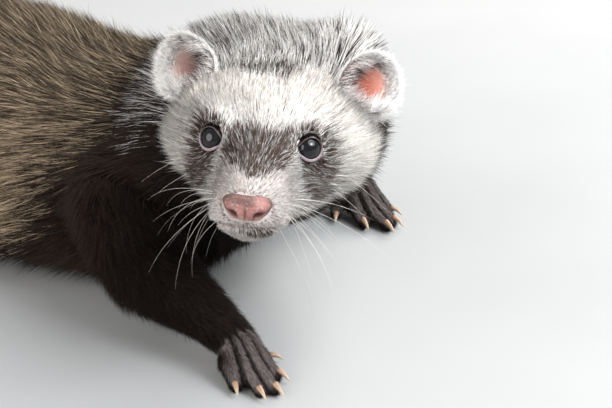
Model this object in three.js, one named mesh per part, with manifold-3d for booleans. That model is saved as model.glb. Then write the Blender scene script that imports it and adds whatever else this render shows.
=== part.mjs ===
// A life-size ferret, crouched on the floor with both forelegs stretched forward and its head turned to its right.
// Millimetres, +Z up. The trunk lies along Y and faces -Y, so its left side is +X.
import * as THREE from "three";
import { mergeVertices } from "three/addons/utils/BufferGeometryUtils.js";
import Module from "manifold-3d";

const wasm = await Module();
wasm.setup();

// Driving dimensions
const GAP = 0.3; // between two solids that touch
const EYE_RADIUS = 4.0;
const HEAD_YAW = THREE.MathUtils.degToRad(70); // to its own right
const HEAD_PITCH = THREE.MathUtils.degToRad(12); // muzzle up
const HEAD_ROLL = THREE.MathUtils.degToRad(-8); // its left side down
const HEAD_CENTRE = new THREE.Vector3(-30, -120, 56);
const NOSE_REACH = 38; // from the head's centre to the tip of the muzzle
const MUZZLE_DROP = 6; // how far the tip of the muzzle lies below the head's centre

const UP = new THREE.Vector3(0, 0, 1);
const vec = (x, y, z) => new THREE.Vector3(x, y, z);

// The head's own axes
const headForward = vec(
  -Math.sin(HEAD_YAW) * Math.cos(HEAD_PITCH),
  -Math.cos(HEAD_YAW) * Math.cos(HEAD_PITCH),
  Math.sin(HEAD_PITCH),
);
const headLeft = UP.clone().cross(headForward).normalize().applyAxisAngle(headForward, HEAD_ROLL);
const headUp = headForward.clone().cross(headLeft).normalize();

// A point given as distances forward, left and up from the head's centre.
function inHead(forward, left, up) {
  return HEAD_CENTRE.clone()
    .addScaledVector(headForward, forward)
    .addScaledVector(headLeft, left)
    .addScaledVector(headUp, up);
}
const headWay = (forward, left, up) => inHead(forward, left, up).sub(HEAD_CENTRE).normalize();

// The axis of the animal, from the tip of the muzzle to the tip of the tail
const axis = new THREE.CatmullRomCurve3([
  inHead(NOSE_REACH, 0, -MUZZLE_DROP),
  inHead(NOSE_REACH / 2, 0, -MUZZLE_DROP / 2),
  inHead(0, 0, 0),
  inHead(-20, 0, 0),
  vec(0, -99, 50), // neck
  vec(6, -82, 40), // front of the shoulders
  vec(7, -58, 35), // ribs
  vec(9, -28, 37), // back of the ribs
  vec(9, 8, 39), // belly
  vec(5, 42, 38), // loin
  vec(-4, 73, 34), // hips
  vec(-12, 97, 24), // rump
  vec(-18, 118, 13), // tail root
  vec(-26, 143, 9.2),
  vec(-32, 170, 8.2),
  vec(-32, 198, 7),
  vec(-26, 222, 6), // tail tip
]);
axis.arcLengthDivisions = 2000;
const AXIS_LENGTH = axis.getLength();

// Half sizes of the section along the axis: distance from the tip of the muzzle, height above the axis, depth below it,
// half width, and how square the upper and the lower half are (2 is an ellipse).
const SECTIONS = [
  [3.5, 4.4, 6.0, 6.4, 2.2, 2.0],
  [8, 6.6, 8.4, 8.6, 2.2, 2.0],
  [13, 8.8, 10.6, 10.2, 2.2, 1.9],
  [18, 12.0, 12.8, 12.8, 2.1, 1.8],
  [22, 15.2, 14.6, 16.0, 2.1, 1.7],
  [27, 18.2, 16.6, 20.8, 2.0, 1.6],
  [33, 20.2, 18.8, 25.2, 2.0, 1.5],
  [40, 21.2, 20.8, 27.8, 2.0, 1.5],
  [48, 21.6, 22.4, 28.6, 2.0, 1.6],
  [58, 22.8, 23.6, 29.6, 2.0, 1.8],
  [70, 26.8, 26.0, 31.8, 2.0, 2.0],
  [82, 28.4, 29.0, 31.6, 2.0, 2.2],
  [97, 28.6, 33.0, 30.2, 2.1, 2.5],
  [118, 28.6, 33.0, 29.8, 2.2, 2.7],
  [145, 32.5, 34.0, 31.5, 2.2, 2.8],
  [180, 35.4, 36.4, 33.0, 2.2, 2.8],
  [215, 35.0, 36.2, 33.0, 2.2, 2.7],
  [248, 31.4, 32.4, 31.4, 2.1, 2.4],
  [270, 26.4, 26.4, 27.0, 2.0, 2.1],
  [288, 18.6, 18.6, 19.6, 2.0, 2.0],
  [306, 12.8, 12.2, 13.4, 2.0, 2.0],
  [334, 11.0, 9.6, 11.2, 2.0, 2.0],
  [362, 10.2, 8.6, 10.4, 2.0, 2.0],
  [390, 8.6, 7.4, 8.8, 2.0, 2.0],
  [407, 6.6, 6.2, 6.8, 2.0, 2.0],
  [415, 5.0, 5.0, 5.2, 2.0, 2.0],
];

// Cubic interpolation of one column of a table whose first column rises.
function tableAt(table, at, column) {
  const last = table.length - 1;
  let i = 0;
  while (i < last - 1 && at > table[i + 1][0]) i++;
  const slope = (k) => {
    const a = Math.max(k - 1, 0);
    const b = Math.min(k + 1, last);
    return (table[b][column] - table[a][column]) / (table[b][0] - table[a][0]);
  };
  const width = table[i + 1][0] - table[i][0];
  const t = THREE.MathUtils.clamp((at - table[i][0]) / width, 0, 1);
  const t2 = t * t;
  const t3 = t2 * t;
  return (
    (2 * t3 - 3 * t2 + 1) * table[i][column] +
    (t3 - 2 * t2 + t) * width * slope(i) +
    (3 * t2 - 2 * t3) * table[i + 1][column] +
    (t3 - t2) * width * slope(i + 1)
  );
}

// Ellipsoids that swell the surface (grow) or hollow it (sink), given in the head's axes or in the part's frame.
const headBlob = (forward, left, up, radii, blend) => ({
  centre: inHead(forward, left, up),
  axes: [headForward, headLeft, headUp],
  radii,
  blend,
});
const bodyBlob = (x, y, z, radii, blend) => ({
  centre: vec(x, y, z),
  axes: [vec(1, 0, 0), vec(0, 1, 0), UP],
  radii,
  blend,
});
const SIDES = [1, -1]; // left, right
const GROW = SIDES.flatMap((side) => [
  headBlob(30.0, side * 4.8, -8.6, [6.2, 5.2, 4.6], 2.5), // whisker pad
  headBlob(13.0, side * 9.5, 11.0, [7.0, 5.0, 3.8], 4.0), // brow
]).concat([
  headBlob(28.5, 0, -12.6, [5.6, 4.6, 3.0], 2.5), // chin
  bodyBlob(-15, -68, 38, [10, 20, 18], 12), // right shoulder
  bodyBlob(29, -68, 38, [10, 20, 18], 12), // left shoulder
  bodyBlob(-20, 50, 34, [10, 24, 24], 12), // right hip
  bodyBlob(25, 50, 34, [10, 24, 24], 12), // left hip
  bodyBlob(-15, -44, 12, [11, 50, 9.5], 8), // right flank, spread on the floor
  bodyBlob(32, -30, 12, [11, 60, 9.5], 8), // left flank
  headBlob(-31, 14, 18, [16, 13, 13], 7), // scruff behind the left ear
]);
const SINK = SIDES.flatMap((side) => [
  headBlob(25.5, side * 14.2, 1.0, [7.0, 5.0, 4.6], 4.0), // between the eye and the whisker pad
]).concat([
  headBlob(-12, 35, -17, [18, 9, 12], 7), // left cheek, drawn flat by the turn of the neck
]);

// Distance to an ellipsoid, close enough for blending.
function blobDistance(blob, point) {
  const away = point.clone().sub(blob.centre);
  const scaled = blob.axes.map((a, i) => away.dot(a) / blob.radii[i]);
  const near = Math.hypot(...scaled);
  const slope = Math.hypot(...scaled.map((v, i) => v / blob.radii[i]));
  return slope < 1e-9 ? -Math.min(...blob.radii) : (near * (near - 1)) / slope;
}
function smoothMin(a, b, blend) {
  const h = Math.max(blend - Math.abs(a - b), 0) / blend;
  return Math.min(a, b) - (h * h * blend) / 4;
}

// The section's frame at a distance along the axis: across points left, upward completes it. Sections turn more slowly
// than the axis, so that they don't cross on the inside of a bend.
const HEAD_ENDS = 50;
const TRUNK_BEGINS = 100;
const onAxis = (distance) => axis.getPointAt(THREE.MathUtils.clamp(distance / AXIS_LENGTH, 0, 1));
function frameAt(distance) {
  const ease = THREE.MathUtils.clamp(0.55 * distance, 2, 30);
  const forward = onAxis(distance - ease).sub(onAxis(distance + ease)).normalize();
  const turn = THREE.MathUtils.smoothstep(distance, HEAD_ENDS, TRUNK_BEGINS);
  const near = headUp.clone().lerp(UP, turn);
  const across = near.cross(forward).normalize();
  return { origin: onAxis(distance), forward, across, upward: forward.clone().cross(across).normalize() };
}

// The plain section's radius at an angle: 0 is to the left, a quarter turn is up.
function sectionRadius(distance, angle) {
  const upper = Math.sin(angle) > 0;
  const tall = tableAt(SECTIONS, distance, upper ? 1 : 2);
  const wide = tableAt(SECTIONS, distance, 3);
  const square = tableAt(SECTIONS, distance, upper ? 4 : 5);
  const sum = Math.abs(Math.cos(angle) / wide) ** square + Math.abs(Math.sin(angle) / tall) ** square;
  return sum ** (-1 / square);
}

// Where a ray from the axis leaves the body, looking from outside inwards.
function reach(origin, way, plain) {
  const inside = (length) => {
    const point = origin.clone().addScaledVector(way, length);
    let value = length - plain;
    for (const blob of GROW) value = smoothMin(value, blobDistance(blob, point), blob.blend);
    for (const blob of SINK) value = -smoothMin(-value, blobDistance(blob, point), blob.blend);
    return value;
  };
  const STEP = 0.5;
  const HIGHEST_BLOB = 16;
  let far = plain + HIGHEST_BLOB;
  while (far > STEP && inside(far) > 0) far -= STEP;
  let low = far;
  let high = far + STEP;
  for (let i = 0; i < 12; i++) {
    const middle = (low + high) / 2;
    if (inside(middle) > 0) high = middle;
    else low = middle;
  }
  return low;
}

// A closed solid from triangles given as three points each.
function solidFrom(points, faces) {
  const geometry = new THREE.BufferGeometry();
  geometry.setAttribute("position", new THREE.Float32BufferAttribute(points.flatMap((p) => [p.x, p.y, p.z]), 3));
  geometry.setIndex(faces.flat());
  return solidOf(geometry);
}
function solidOf(geometry) {
  const bare = geometry.clone();
  bare.deleteAttribute("normal");
  bare.deleteAttribute("uv");
  const merged = mergeVertices(bare, 1e-4);
  const made = new wasm.Manifold(
    new wasm.Mesh({
      numProp: 3,
      vertProperties: new Float32Array(merged.attributes.position.array),
      triVerts: new Uint32Array(merged.index.array),
    }),
  );
  if (made.volume() < 0) throw new Error("a solid is inside out");
  return made;
}

// A solid from rings of equally many points, each end closed by a fan round its middle point.
function skinRings(rings, firstMiddle, lastMiddle) {
  const sides = rings[0].length;
  const points = rings.flat().concat([firstMiddle, lastMiddle]);
  const first = points.length - 2;
  const last = points.length - 1;
  const end = (rings.length - 1) * sides;
  const faces = [];
  for (let k = 0; k < sides; k++) {
    const next = (k + 1) % sides;
    faces.push([first, next, k]);
    faces.push([last, end + k, end + next]);
    for (let r = 0; r < rings.length - 1; r++) {
      const a = r * sides;
      const b = a + sides;
      faces.push([a + k, a + next, b + k]);
      faces.push([a + next, b + next, b + k]);
    }
  }
  return solidFrom(points, faces);
}

// Where the body is parted, as distances from the tip of the muzzle
const PARTINGS = { neck: 58, chest: 97, belly: 150, hips: 225, tail: 292, tailEnd: 352 };

// The stations of the rings, one at each parting and the rest evenly spaced, closer together on the head. The rounded
// ends at the muzzle and the tail are as long as their caps, and lie beyond the first and the last station.
const MUZZLE_CAP = 3.5;
const TAIL_CAP = 7;
const TAIL_END = 412;
const HEAD_SPACING = 2.9;
const BODY_SPACING = 8;
const CLEAR_OF_PARTING = 2;
const STATIONS = Object.values(PARTINGS);
let upcoming = MUZZLE_CAP;
while (upcoming < TAIL_END) {
  const tooNear = Object.values(PARTINGS).some((parting) => Math.abs(parting - upcoming) < CLEAR_OF_PARTING);
  if (!tooNear) STATIONS.push(upcoming);
  upcoming += upcoming < HEAD_ENDS ? HEAD_SPACING : BODY_SPACING;
}
STATIONS.sort((a, b) => a - b);

// A length of the body between two distances along the axis, grown by extra. It is rounded at the muzzle and the tail.
function bodyLength(from, to, { sides, extra = 0 }) {
  const ring = (distance, tilt, cap) => {
    const frame = frameAt(distance);
    const lean = Math.sign(cap);
    return Array.from({ length: sides }, (_, k) => {
      const angle = (2 * Math.PI * k) / sides;
      const flat = frame.across.clone().multiplyScalar(Math.cos(angle));
      flat.addScaledVector(frame.upward, Math.sin(angle));
      const way = flat.clone().multiplyScalar(Math.cos(tilt));
      way.addScaledVector(frame.forward, lean * Math.sin(tilt));
      let plain = sectionRadius(distance, angle);
      if (cap) plain = 1 / Math.hypot(Math.cos(tilt) / plain, Math.sin(tilt) / Math.abs(cap));
      return frame.origin.clone().addScaledVector(way, reach(frame.origin, way, plain) + extra);
    });
  };
  const TILTS = [20, 40, 58, 74, 85].map(THREE.MathUtils.degToRad);
  const between = STATIONS.filter((distance) => distance > from + 1 && distance < to - 1);
  const rings = [from, ...between, to].map((distance) => ring(distance, 0, 0));
  const middles = [from, to].map((distance) => frameAt(distance).origin);
  if (from < MUZZLE_CAP + 0.1) {
    rings.unshift(...TILTS.map((t) => ring(from, t, MUZZLE_CAP)).reverse());
    middles[0].addScaledVector(frameAt(from).forward, MUZZLE_CAP + extra);
  }
  if (to > TAIL_END - 0.1) {
    rings.push(...TILTS.map((t) => ring(to, t, -TAIL_CAP)));
    middles[1].addScaledVector(frameAt(to).forward, -TAIL_CAP - extra);
  }
  return skinRings(rings.map((r) => r.reverse()), middles[0], middles[1]);
}

// A limb: rings round a smooth line through points, each with a half width and a half thickness. Both ends are rounded.
function limb(stations, { sides = 20, step = 4, upHint = UP, extra = 0, capSteps = 3 }) {
  const DIVISIONS = 400;
  const line = new THREE.CatmullRomCurve3(stations.map((s) => s.at));
  line.arcLengthDivisions = DIVISIONS;
  const length = line.getLength();
  const lengths = line.getLengths(DIVISIONS);
  const table = stations.map((s, i) => {
    const share = i / (stations.length - 1);
    return [lengths[Math.round(share * DIVISIONS)], s.wide, s.thick];
  });
  const ring = (distance, tilt, lean) => {
    const u = THREE.MathUtils.clamp(distance / length, 0, 1);
    const along = line.getTangentAt(u);
    const across = upHint.clone().cross(along).normalize();
    const upward = along.clone().cross(across).normalize();
    const wide = tableAt(table, distance, 1) + extra;
    const thick = tableAt(table, distance, 2) + extra;
    const cap = Math.min(wide, thick);
    const centre = line.getPointAt(u).addScaledVector(along, lean * cap * Math.sin(tilt));
    return Array.from({ length: sides }, (_, k) => {
      const angle = (2 * Math.PI * k) / sides;
      return centre
        .clone()
        .addScaledVector(across, wide * Math.cos(tilt) * Math.cos(angle))
        .addScaledVector(upward, thick * Math.cos(tilt) * Math.sin(angle));
    });
  };
  const count = Math.max(2, Math.round(length / step));
  const tilts = Array.from({ length: capSteps }, (_, i) => ((i + 1) / (capSteps + 0.35)) * (Math.PI / 2));
  const rings = Array.from({ length: count + 1 }, (_, i) => ring((length * i) / count, 0, 0));
  rings.unshift(...tilts.map((t) => ring(0, t, -1)).reverse());
  rings.push(...tilts.map((t) => ring(length, t, 1)));
  const tip = (distance, lean) => {
    const u = distance / length;
    const cap = Math.min(tableAt(table, distance, 1), tableAt(table, distance, 2)) + extra;
    return line.getPointAt(u).addScaledVector(line.getTangentAt(u), lean * cap);
  };
  return skinRings(rings, tip(0, -1), tip(length, 1));
}
const at = (x, y, z, wide, thick = wide) => ({ at: vec(x, y, z), wide, thick });

// Everything on one side of a plane through a point, as a block.
function halfSpace(point, normal) {
  const SIZE = 800;
  const block = new THREE.BoxGeometry(SIZE, SIZE, SIZE);
  block.translate(0, 0, SIZE / 2);
  const turn = new THREE.Quaternion().setFromUnitVectors(UP, normal.clone().normalize());
  block.applyQuaternion(turn);
  block.translate(point.x, point.y, point.z);
  return solidOf(block);
}
const belowFloor = halfSpace(vec(0, 0, 0), vec(0, 0, -1));
const aboveFloor = (solid) => solid.subtract(belowFloor);

function ball(centre, radius, across = 18, down = 12) {
  return solidOf(new THREE.SphereGeometry(radius, across, down).translate(centre.x, centre.y, centre.z));
}
// An ellipsoid with its radii along three given axes.
function ellipsoid(centre, axes, radii, across = 24, down = 16) {
  const geometry = new THREE.SphereGeometry(1, across, down);
  const place = new THREE.Matrix4().makeBasis(...axes.map((a, i) => a.clone().multiplyScalar(radii[i])));
  geometry.applyMatrix4(place.setPosition(centre));
  return solidOf(geometry);
}

// The largest closed surface of a solid.
function largest(solid) {
  const pieces = solid.decompose();
  return pieces.reduce((best, piece) => (piece.volume() > best.volume() ? piece : best));
}

const half = GAP / 2;
const headBlock = bodyLength(MUZZLE_CAP, PARTINGS.neck - half, { sides: 32 });
const headShell = bodyLength(MUZZLE_CAP, PARTINGS.neck - half, { sides: 32, extra: GAP });
const trunkShell = bodyLength(PARTINGS.neck, PARTINGS.tail, { sides: 26, extra: GAP });

const nodes = {};
nodes.neck = bodyLength(PARTINGS.neck + half, PARTINGS.chest - half, { sides: 26 });
nodes.chest = bodyLength(PARTINGS.chest + half, PARTINGS.belly - half, { sides: 26 });
nodes.belly = bodyLength(PARTINGS.belly + half, PARTINGS.hips - half, { sides: 26 });
nodes.hips = bodyLength(PARTINGS.hips + half, PARTINGS.tail - half, { sides: 26 });
nodes.tail_root = aboveFloor(bodyLength(PARTINGS.tail + half, PARTINGS.tailEnd - half, { sides: 16 }));
nodes.tail_tip = aboveFloor(bodyLength(PARTINGS.tailEnd + half, TAIL_END, { sides: 16 }));

// Eyes: a ball in its socket, with a lid round it
const eyeCentre = (side) => inHead(15.8, side * 10.8, 5.8);
const eyeWay = (side) => headWay(0.84, side * 0.52, 0.16);
const OPENING_DEPTH = 4.5;
const OPENING_ROOM = 0.5; // round the eye, filled by the lid
const LID = { wide: 3.4, tall: 3.3, thick: 0.95, sides: 6, around: 18, cornerReach: 0.16, cornerDip: 0.12 * Math.PI };
function eyeAxes(side) {
  const way = eyeWay(side);
  const across = headUp.clone().cross(way).normalize();
  return [way, across, way.clone().cross(across).normalize()];
}
function eyeOpening(side) {
  const axes = eyeAxes(side);
  const centre = eyeCentre(side).addScaledVector(axes[0], OPENING_DEPTH);
  return ellipsoid(centre, axes, [OPENING_DEPTH, LID.wide + OPENING_ROOM, LID.tall + OPENING_ROOM], 16, 10);
}
function lidRing(side) {
  const [way, across, upward] = eyeAxes(side);
  const rings = [];
  for (let i = 0; i < LID.around; i++) {
    const turn = (2 * Math.PI * i) / LID.around;
    const out = across.clone().multiplyScalar(Math.cos(turn)).addScaledVector(upward, Math.sin(turn));
    const innerCorner = side > 0 ? Math.PI + LID.cornerDip : -LID.cornerDip;
    const corner = 1 + LID.cornerReach * Math.max(0, Math.cos(turn - innerCorner)) ** 6;
    const size = corner / Math.hypot(Math.cos(turn) / LID.wide, Math.sin(turn) / LID.tall);
    const depth = Math.sqrt(Math.max(EYE_RADIUS ** 2 - size ** 2, 0.5));
    const centre = eyeCentre(side).addScaledVector(out, size).addScaledVector(way, depth);
    rings.push(
      Array.from({ length: LID.sides }, (_, k) => {
        const angle = (2 * Math.PI * k) / LID.sides;
        return centre
          .clone()
          .addScaledVector(out, LID.thick * Math.cos(angle))
          .addScaledVector(way, LID.thick * Math.sin(angle));
      }),
    );
  }
  return closedRings(rings);
}
// A solid ring from rings of points, the last joined to the first.
function closedRings(rings) {
  const sides = rings[0].length;
  const faces = [];
  rings.forEach((_, r) => {
    const a = r * sides;
    const b = ((r + 1) % rings.length) * sides;
    for (let k = 0; k < sides; k++) {
      const next = (k + 1) % sides;
      faces.push([a + k, b + k, a + next]);
      faces.push([a + next, b + k, b + next]);
    }
  });
  return solidFrom(rings.flat(), faces);
}

// Nose: the bare pad at the tip of the muzzle, with two nostrils
const NOSE = { forward: 35.6, up: -5.6, radii: [4.4, 5.7, 3.4] };
// From the nose's middle: forward, to the side, down, and the radius
const NOSTRIL = [
  [3.5, 2.9, 0.8, 0.9],
  [1.5, 5.3, 0.7, 0.5],
];
const noseCentre = inHead(NOSE.forward, 0, NOSE.up);
const noseAxes = [headForward, headLeft, headUp];
const nosePad = (extra) => ellipsoid(noseCentre, noseAxes, NOSE.radii.map((r) => r + extra), 18, 10);
function nostril(side) {
  const stations = NOSTRIL.map(([forward, aside, down, radius]) => ({
    at: inHead(NOSE.forward + forward, side * aside, NOSE.up - down),
    wide: radius,
    thick: radius,
  }));
  return limb(stations, { sides: 8, step: 3, upHint: headUp, capSteps: 1 });
}

// Mouth: a thin cut that runs back from under the nose, below which lies the lower jaw
const MOUTH_LINE = [
  [45, -10.2],
  [34, -10.2],
  [30, -11.6],
  [24, -12.8],
  [18, -12.8],
];
const JAW_DEPTH = -30;
function jawBlock(shrink) {
  const upper = MOUTH_LINE.map(([f, u]) => [f, u - shrink]);
  const [front, back] = [upper[0], upper.at(-1)];
  back[0] += shrink;
  const outline = [...upper, [back[0], JAW_DEPTH], [front[0], JAW_DEPTH]];
  const shape = new THREE.Shape(outline.map(([f, u]) => new THREE.Vector2(f, u)));
  const width = 40;
  const block = new THREE.ExtrudeGeometry(shape, { depth: width, bevelEnabled: false });
  block.translate(0, 0, -width / 2);
  // The outline's x runs forward and its y up, so its depth runs to the right.
  const place = new THREE.Matrix4().makeBasis(headForward, headUp, headForward.clone().cross(headUp));
  block.applyMatrix4(place.setPosition(HEAD_CENTRE));
  return solidOf(block);
}

// Ears: a rounded cup that opens forward and outward, thicker toward its root
const EAR = { forward: -7.5, left: 23.4, up: 17.8, wide: 9.2, tall: 9.8, cup: 4.0, thick: 1.9, rootThicker: 0.8 };
const EAR_OPENS = [0.82, 0.5, 0.22]; // forward, outward, up
const EAR_RISES = [-0.1, 0.42, 1];
const EAR_CUP_POWER = 2.2;
const EAR_EDGE_POWER = 6;
const EAR_INSIDE = 0.25; // share of the thickness that lies in front of the cup's surface
function ear(side) {
  const outward = ([forward, out, up]) => headWay(forward, side * out, up);
  const way = outward(EAR_OPENS);
  const rise = outward(EAR_RISES);
  const across = rise.clone().cross(way).normalize();
  const upward = way.clone().cross(across).normalize();
  const centre = inHead(EAR.forward, side * EAR.left, EAR.up);
  const AROUND = 24;
  const SHARES = [0.3, 0.55, 0.76, 0.92, 1];
  const place = (share, turn, back) => {
    const low = Math.max(0, -Math.sin(turn));
    const wide = EAR.wide * share * Math.cos(turn);
    const tall = EAR.tall * share * Math.sin(turn);
    const rounding = Math.sqrt(Math.max(1 - share ** EAR_EDGE_POWER, 0));
    const thick = EAR.thick * (1 + EAR.rootThicker * low) * rounding;
    const depth = -EAR.cup * (1 - share ** EAR_CUP_POWER) - (back ? thick : -EAR_INSIDE * thick * share);
    return centre
      .clone()
      .addScaledVector(across, wide)
      .addScaledVector(upward, tall)
      .addScaledVector(way, depth);
  };
  const ring = (share, back) =>
    Array.from({ length: AROUND }, (_, i) => place(share, (-2 * Math.PI * i) / AROUND, back));
  const rings = SHARES.map((s) => ring(s, false)).concat(
    SHARES.slice(0, -1)
      .reverse()
      .map((s) => ring(s, true)),
  );
  return skinRings(rings, place(0, 0, false), place(0, 0, true));
}

// Head, with its eyes, nose, lower jaw and ears
let head = headBlock;
for (const side of SIDES) head = head.subtract(eyeOpening(side)).add(lidRing(side));
for (const side of SIDES) head = head.subtract(ball(eyeCentre(side), EYE_RADIUS + GAP));
head = head.subtract(nosePad(GAP));
nodes.lower_jaw = largest(head.intersect(jawBlock(GAP)));
nodes.head = largest(head.subtract(jawBlock(0)));
nodes.nose = largest(SIDES.reduce((pad, side) => pad.subtract(nostril(side)), nosePad(0)));
for (const side of SIDES) {
  const word = side > 0 ? "left" : "right";
  nodes[`${word}_eye`] = ball(eyeCentre(side), EYE_RADIUS);
  nodes[`${word}_ear`] = largest(ear(side).subtract(headShell).subtract(trunkShell));
}

// Legs: each from stations along its bones, x for the left leg or the right one, y, z and half sizes
const LEGS = {
  right_upper_arm: [at(-7, -63, 40, 14, 14), at(-24, -71, 29, 14.5, 15), at(-31, -80, 18, 12, 12)],
  left_upper_arm: [at(20, -61, 40, 14, 14), at(33, -68, 28, 14, 15), at(34, -76, 17, 11.5, 11.5)],
  right_forearm: [at(-30, -79, 18, 12, 12), at(-36.4, -95.6, 14.5, 9.8, 9.8), at(-42, -110, 10, 7.0, 6.4)],
  left_forearm: [at(34, -75, 17, 11.5, 11.5), at(44.5, -88, 14, 9.6, 9.6), at(52, -100.5, 10, 7.0, 6.4)],
  right_thigh: [at(-18, 52, 36, 17, 21), at(-30, 36, 29, 16, 20), at(-37, 20, 23, 13, 14)],
  left_thigh: [at(24, 52, 36, 17, 21), at(36, 36, 29, 16, 20), at(43, 20, 23, 13, 14)],
  right_shin: [at(-39, 20, 18, 9.5, 9.5), at(-36, 36, 14, 8.5, 8.5), at(-33, 50, 10, 7, 7)],
  left_shin: [at(45, 20, 18, 9.5, 9.5), at(42, 36, 14, 8.5, 8.5), at(39, 50, 10, 7, 7)],
};
const legSolid = (name, extra = 0) => limb(LEGS[name], { sides: 14, step: 9, extra });

// A paw: a palm and five toes, each with a claw. The wrist is at from, and the longest toe ends at to.
// Toes from the inner one out: shares of the paw's width, of its length at the tip and of the palm's at the root
const FORE_TOES = [
  [-0.54, 0.3, 0.1],
  [-0.36, 0.74, 0.62],
  [-0.09, 1.0, 0.95],
  [0.16, 0.94, 0.9],
  [0.39, 0.66, 0.6],
];
const HIND_TOES = [
  [-0.5, 0.66, 0.5],
  [-0.31, 0.88, 0.84],
  [-0.08, 1.0, 0.95],
  [0.17, 0.97, 0.93],
  [0.39, 0.82, 0.76],
];
const PALM_END = { height: 3.5, wide: 0.42, thick: 3.9 }; // wide is a share of the paw's width
const HEEL = { along: 0.45, height: 0.86, wide: 0.4, thick: 0.92 }; // shares of the palm, the wrist and the paw
const TOE = { rootBack: 3, rootHeight: 3.7, knuckleHeight: 3.8, tipHeight: 1.6, rootSpread: 0.82, tipSpread: 1.12 };
// Along a claw: share of its length, height above the floor, half width and half thickness
const CLAW = [
  [0.1, 2.5, 0.75, 1.05],
  [0.6, 2.3, 0.6, 0.85],
  [1.15, 0.7, 0.28, 0.28],
];
const CLAW_IN_TOE = 0.6; // share of a claw's length that lies behind the paw's end
function paw({ from, to, side, wide, palmShare, toeRadius, clawLength, ankle, toes }) {
  const forward = to.clone().sub(from).setZ(0).normalize();
  const left = UP.clone().cross(forward);
  const length = Math.hypot(to.x - from.x, to.y - from.y);
  const place = (f, l, z) => vec(from.x, from.y, 0).addScaledVector(forward, f).addScaledVector(left, l).setZ(z);
  const palmEnd = length * palmShare;
  const station = (f, l, z, w, t) => ({ at: place(f, l, z), wide: w, thick: t });
  let solid = limb(
    [
      station(-1, 0, from.z, ankle[0], ankle[1]),
      station(palmEnd * HEEL.along, 0, from.z * HEEL.height, wide * HEEL.wide, ankle[1] * HEEL.thick),
      station(palmEnd, 0, PALM_END.height, wide * PALM_END.wide, PALM_END.thick),
    ],
    { sides: 12, step: 8, capSteps: 2 },
  );
  const claws = toes.map(([across, share, start], i) => {
    const outward = side * across; // inner toes lie toward the body's middle
    const root = [palmEnd * start, outward * wide * TOE.rootSpread];
    const tip = [length * share - clawLength * CLAW_IN_TOE, outward * wide * TOE.tipSpread];
    const mid = [(root[0] + tip[0]) / 2, (root[1] + tip[1]) / 2];
    const toe = [
      station(root[0] - TOE.rootBack, root[1], TOE.rootHeight, toeRadius, toeRadius * 1.05),
      station(mid[0], mid[1], TOE.knuckleHeight, toeRadius, toeRadius * 1.05),
      station(tip[0], tip[1], TOE.tipHeight, toeRadius * 0.9, toeRadius * 0.9),
    ];
    const toeSolid = (extra) => limb(toe, { sides: 7, step: 9, capSteps: 1, extra });
    solid = solid.add(toeSolid(0));
    const spread = new THREE.Vector2(tip[0] - root[0], tip[1] - root[1]).normalize().multiplyScalar(clawLength);
    const onToe = ([along, z, w, t]) => station(tip[0] + along * spread.x, tip[1] + along * spread.y, z, w, t);
    const claw = limb(CLAW.map(onToe), { sides: 6, step: 4, capSteps: 1 });
    return { number: i + 1, solid: largest(aboveFloor(claw.subtract(toeSolid(GAP)))) };
  });
  return { solid: aboveFloor(solid), claws };
}
const FORE = { wide: 14.2, palmShare: 0.5, toeRadius: 2.1, clawLength: 4.2, ankle: [6.6, 6.0], toes: FORE_TOES };
const HIND = { wide: 14, palmShare: 0.66, toeRadius: 2.2, clawLength: 3.4, ankle: [6.4, 6.2], toes: HIND_TOES };
const PAWS = {
  right_forepaw: { from: vec(-42.6, -111, 9), to: vec(-54.9, -129.6, 3), side: -1, ...FORE },
  left_forepaw: { from: vec(52.5, -101.5, 9), to: vec(40.6, -121.2, 3), side: 1, ...FORE, wide: 13 },
  right_hindfoot: { from: vec(-33, 50, 7.5), to: vec(-45, -2, 3), side: -1, ...HIND },
  left_hindfoot: { from: vec(39, 50, 7.5), to: vec(50, -2, 3), side: 1, ...HIND },
};

// Each leg is built from the foot up, and every piece is cut clear of the ones above it.
for (const word of ["right", "left"]) {
  const upperArm = legSolid(`${word}_upper_arm`);
  nodes[`${word}_upper_arm`] = largest(aboveFloor(upperArm.subtract(trunkShell)));
  const forearm = legSolid(`${word}_forearm`).subtract(legSolid(`${word}_upper_arm`, GAP)).subtract(trunkShell);
  nodes[`${word}_forearm`] = largest(aboveFloor(forearm));
  const thigh = legSolid(`${word}_thigh`);
  nodes[`${word}_thigh`] = largest(aboveFloor(thigh.subtract(trunkShell)));
  const shin = legSolid(`${word}_shin`).subtract(legSolid(`${word}_thigh`, GAP)).subtract(trunkShell);
  nodes[`${word}_shin`] = largest(aboveFloor(shin));
  const fore = paw(PAWS[`${word}_forepaw`]);
  nodes[`${word}_forepaw`] = largest(fore.solid.subtract(legSolid(`${word}_forearm`, GAP)));
  const hind = paw(PAWS[`${word}_hindfoot`]);
  nodes[`${word}_hindfoot`] = largest(
    hind.solid.subtract(legSolid(`${word}_shin`, GAP)).subtract(legSolid(`${word}_thigh`, GAP)).subtract(trunkShell),
  );
  for (const [name, made] of [["forepaw", fore], ["hindfoot", hind]])
    for (const claw of made.claws) nodes[`${word}_${name}_claw_${claw.number}`] = claw.solid;
}

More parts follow.
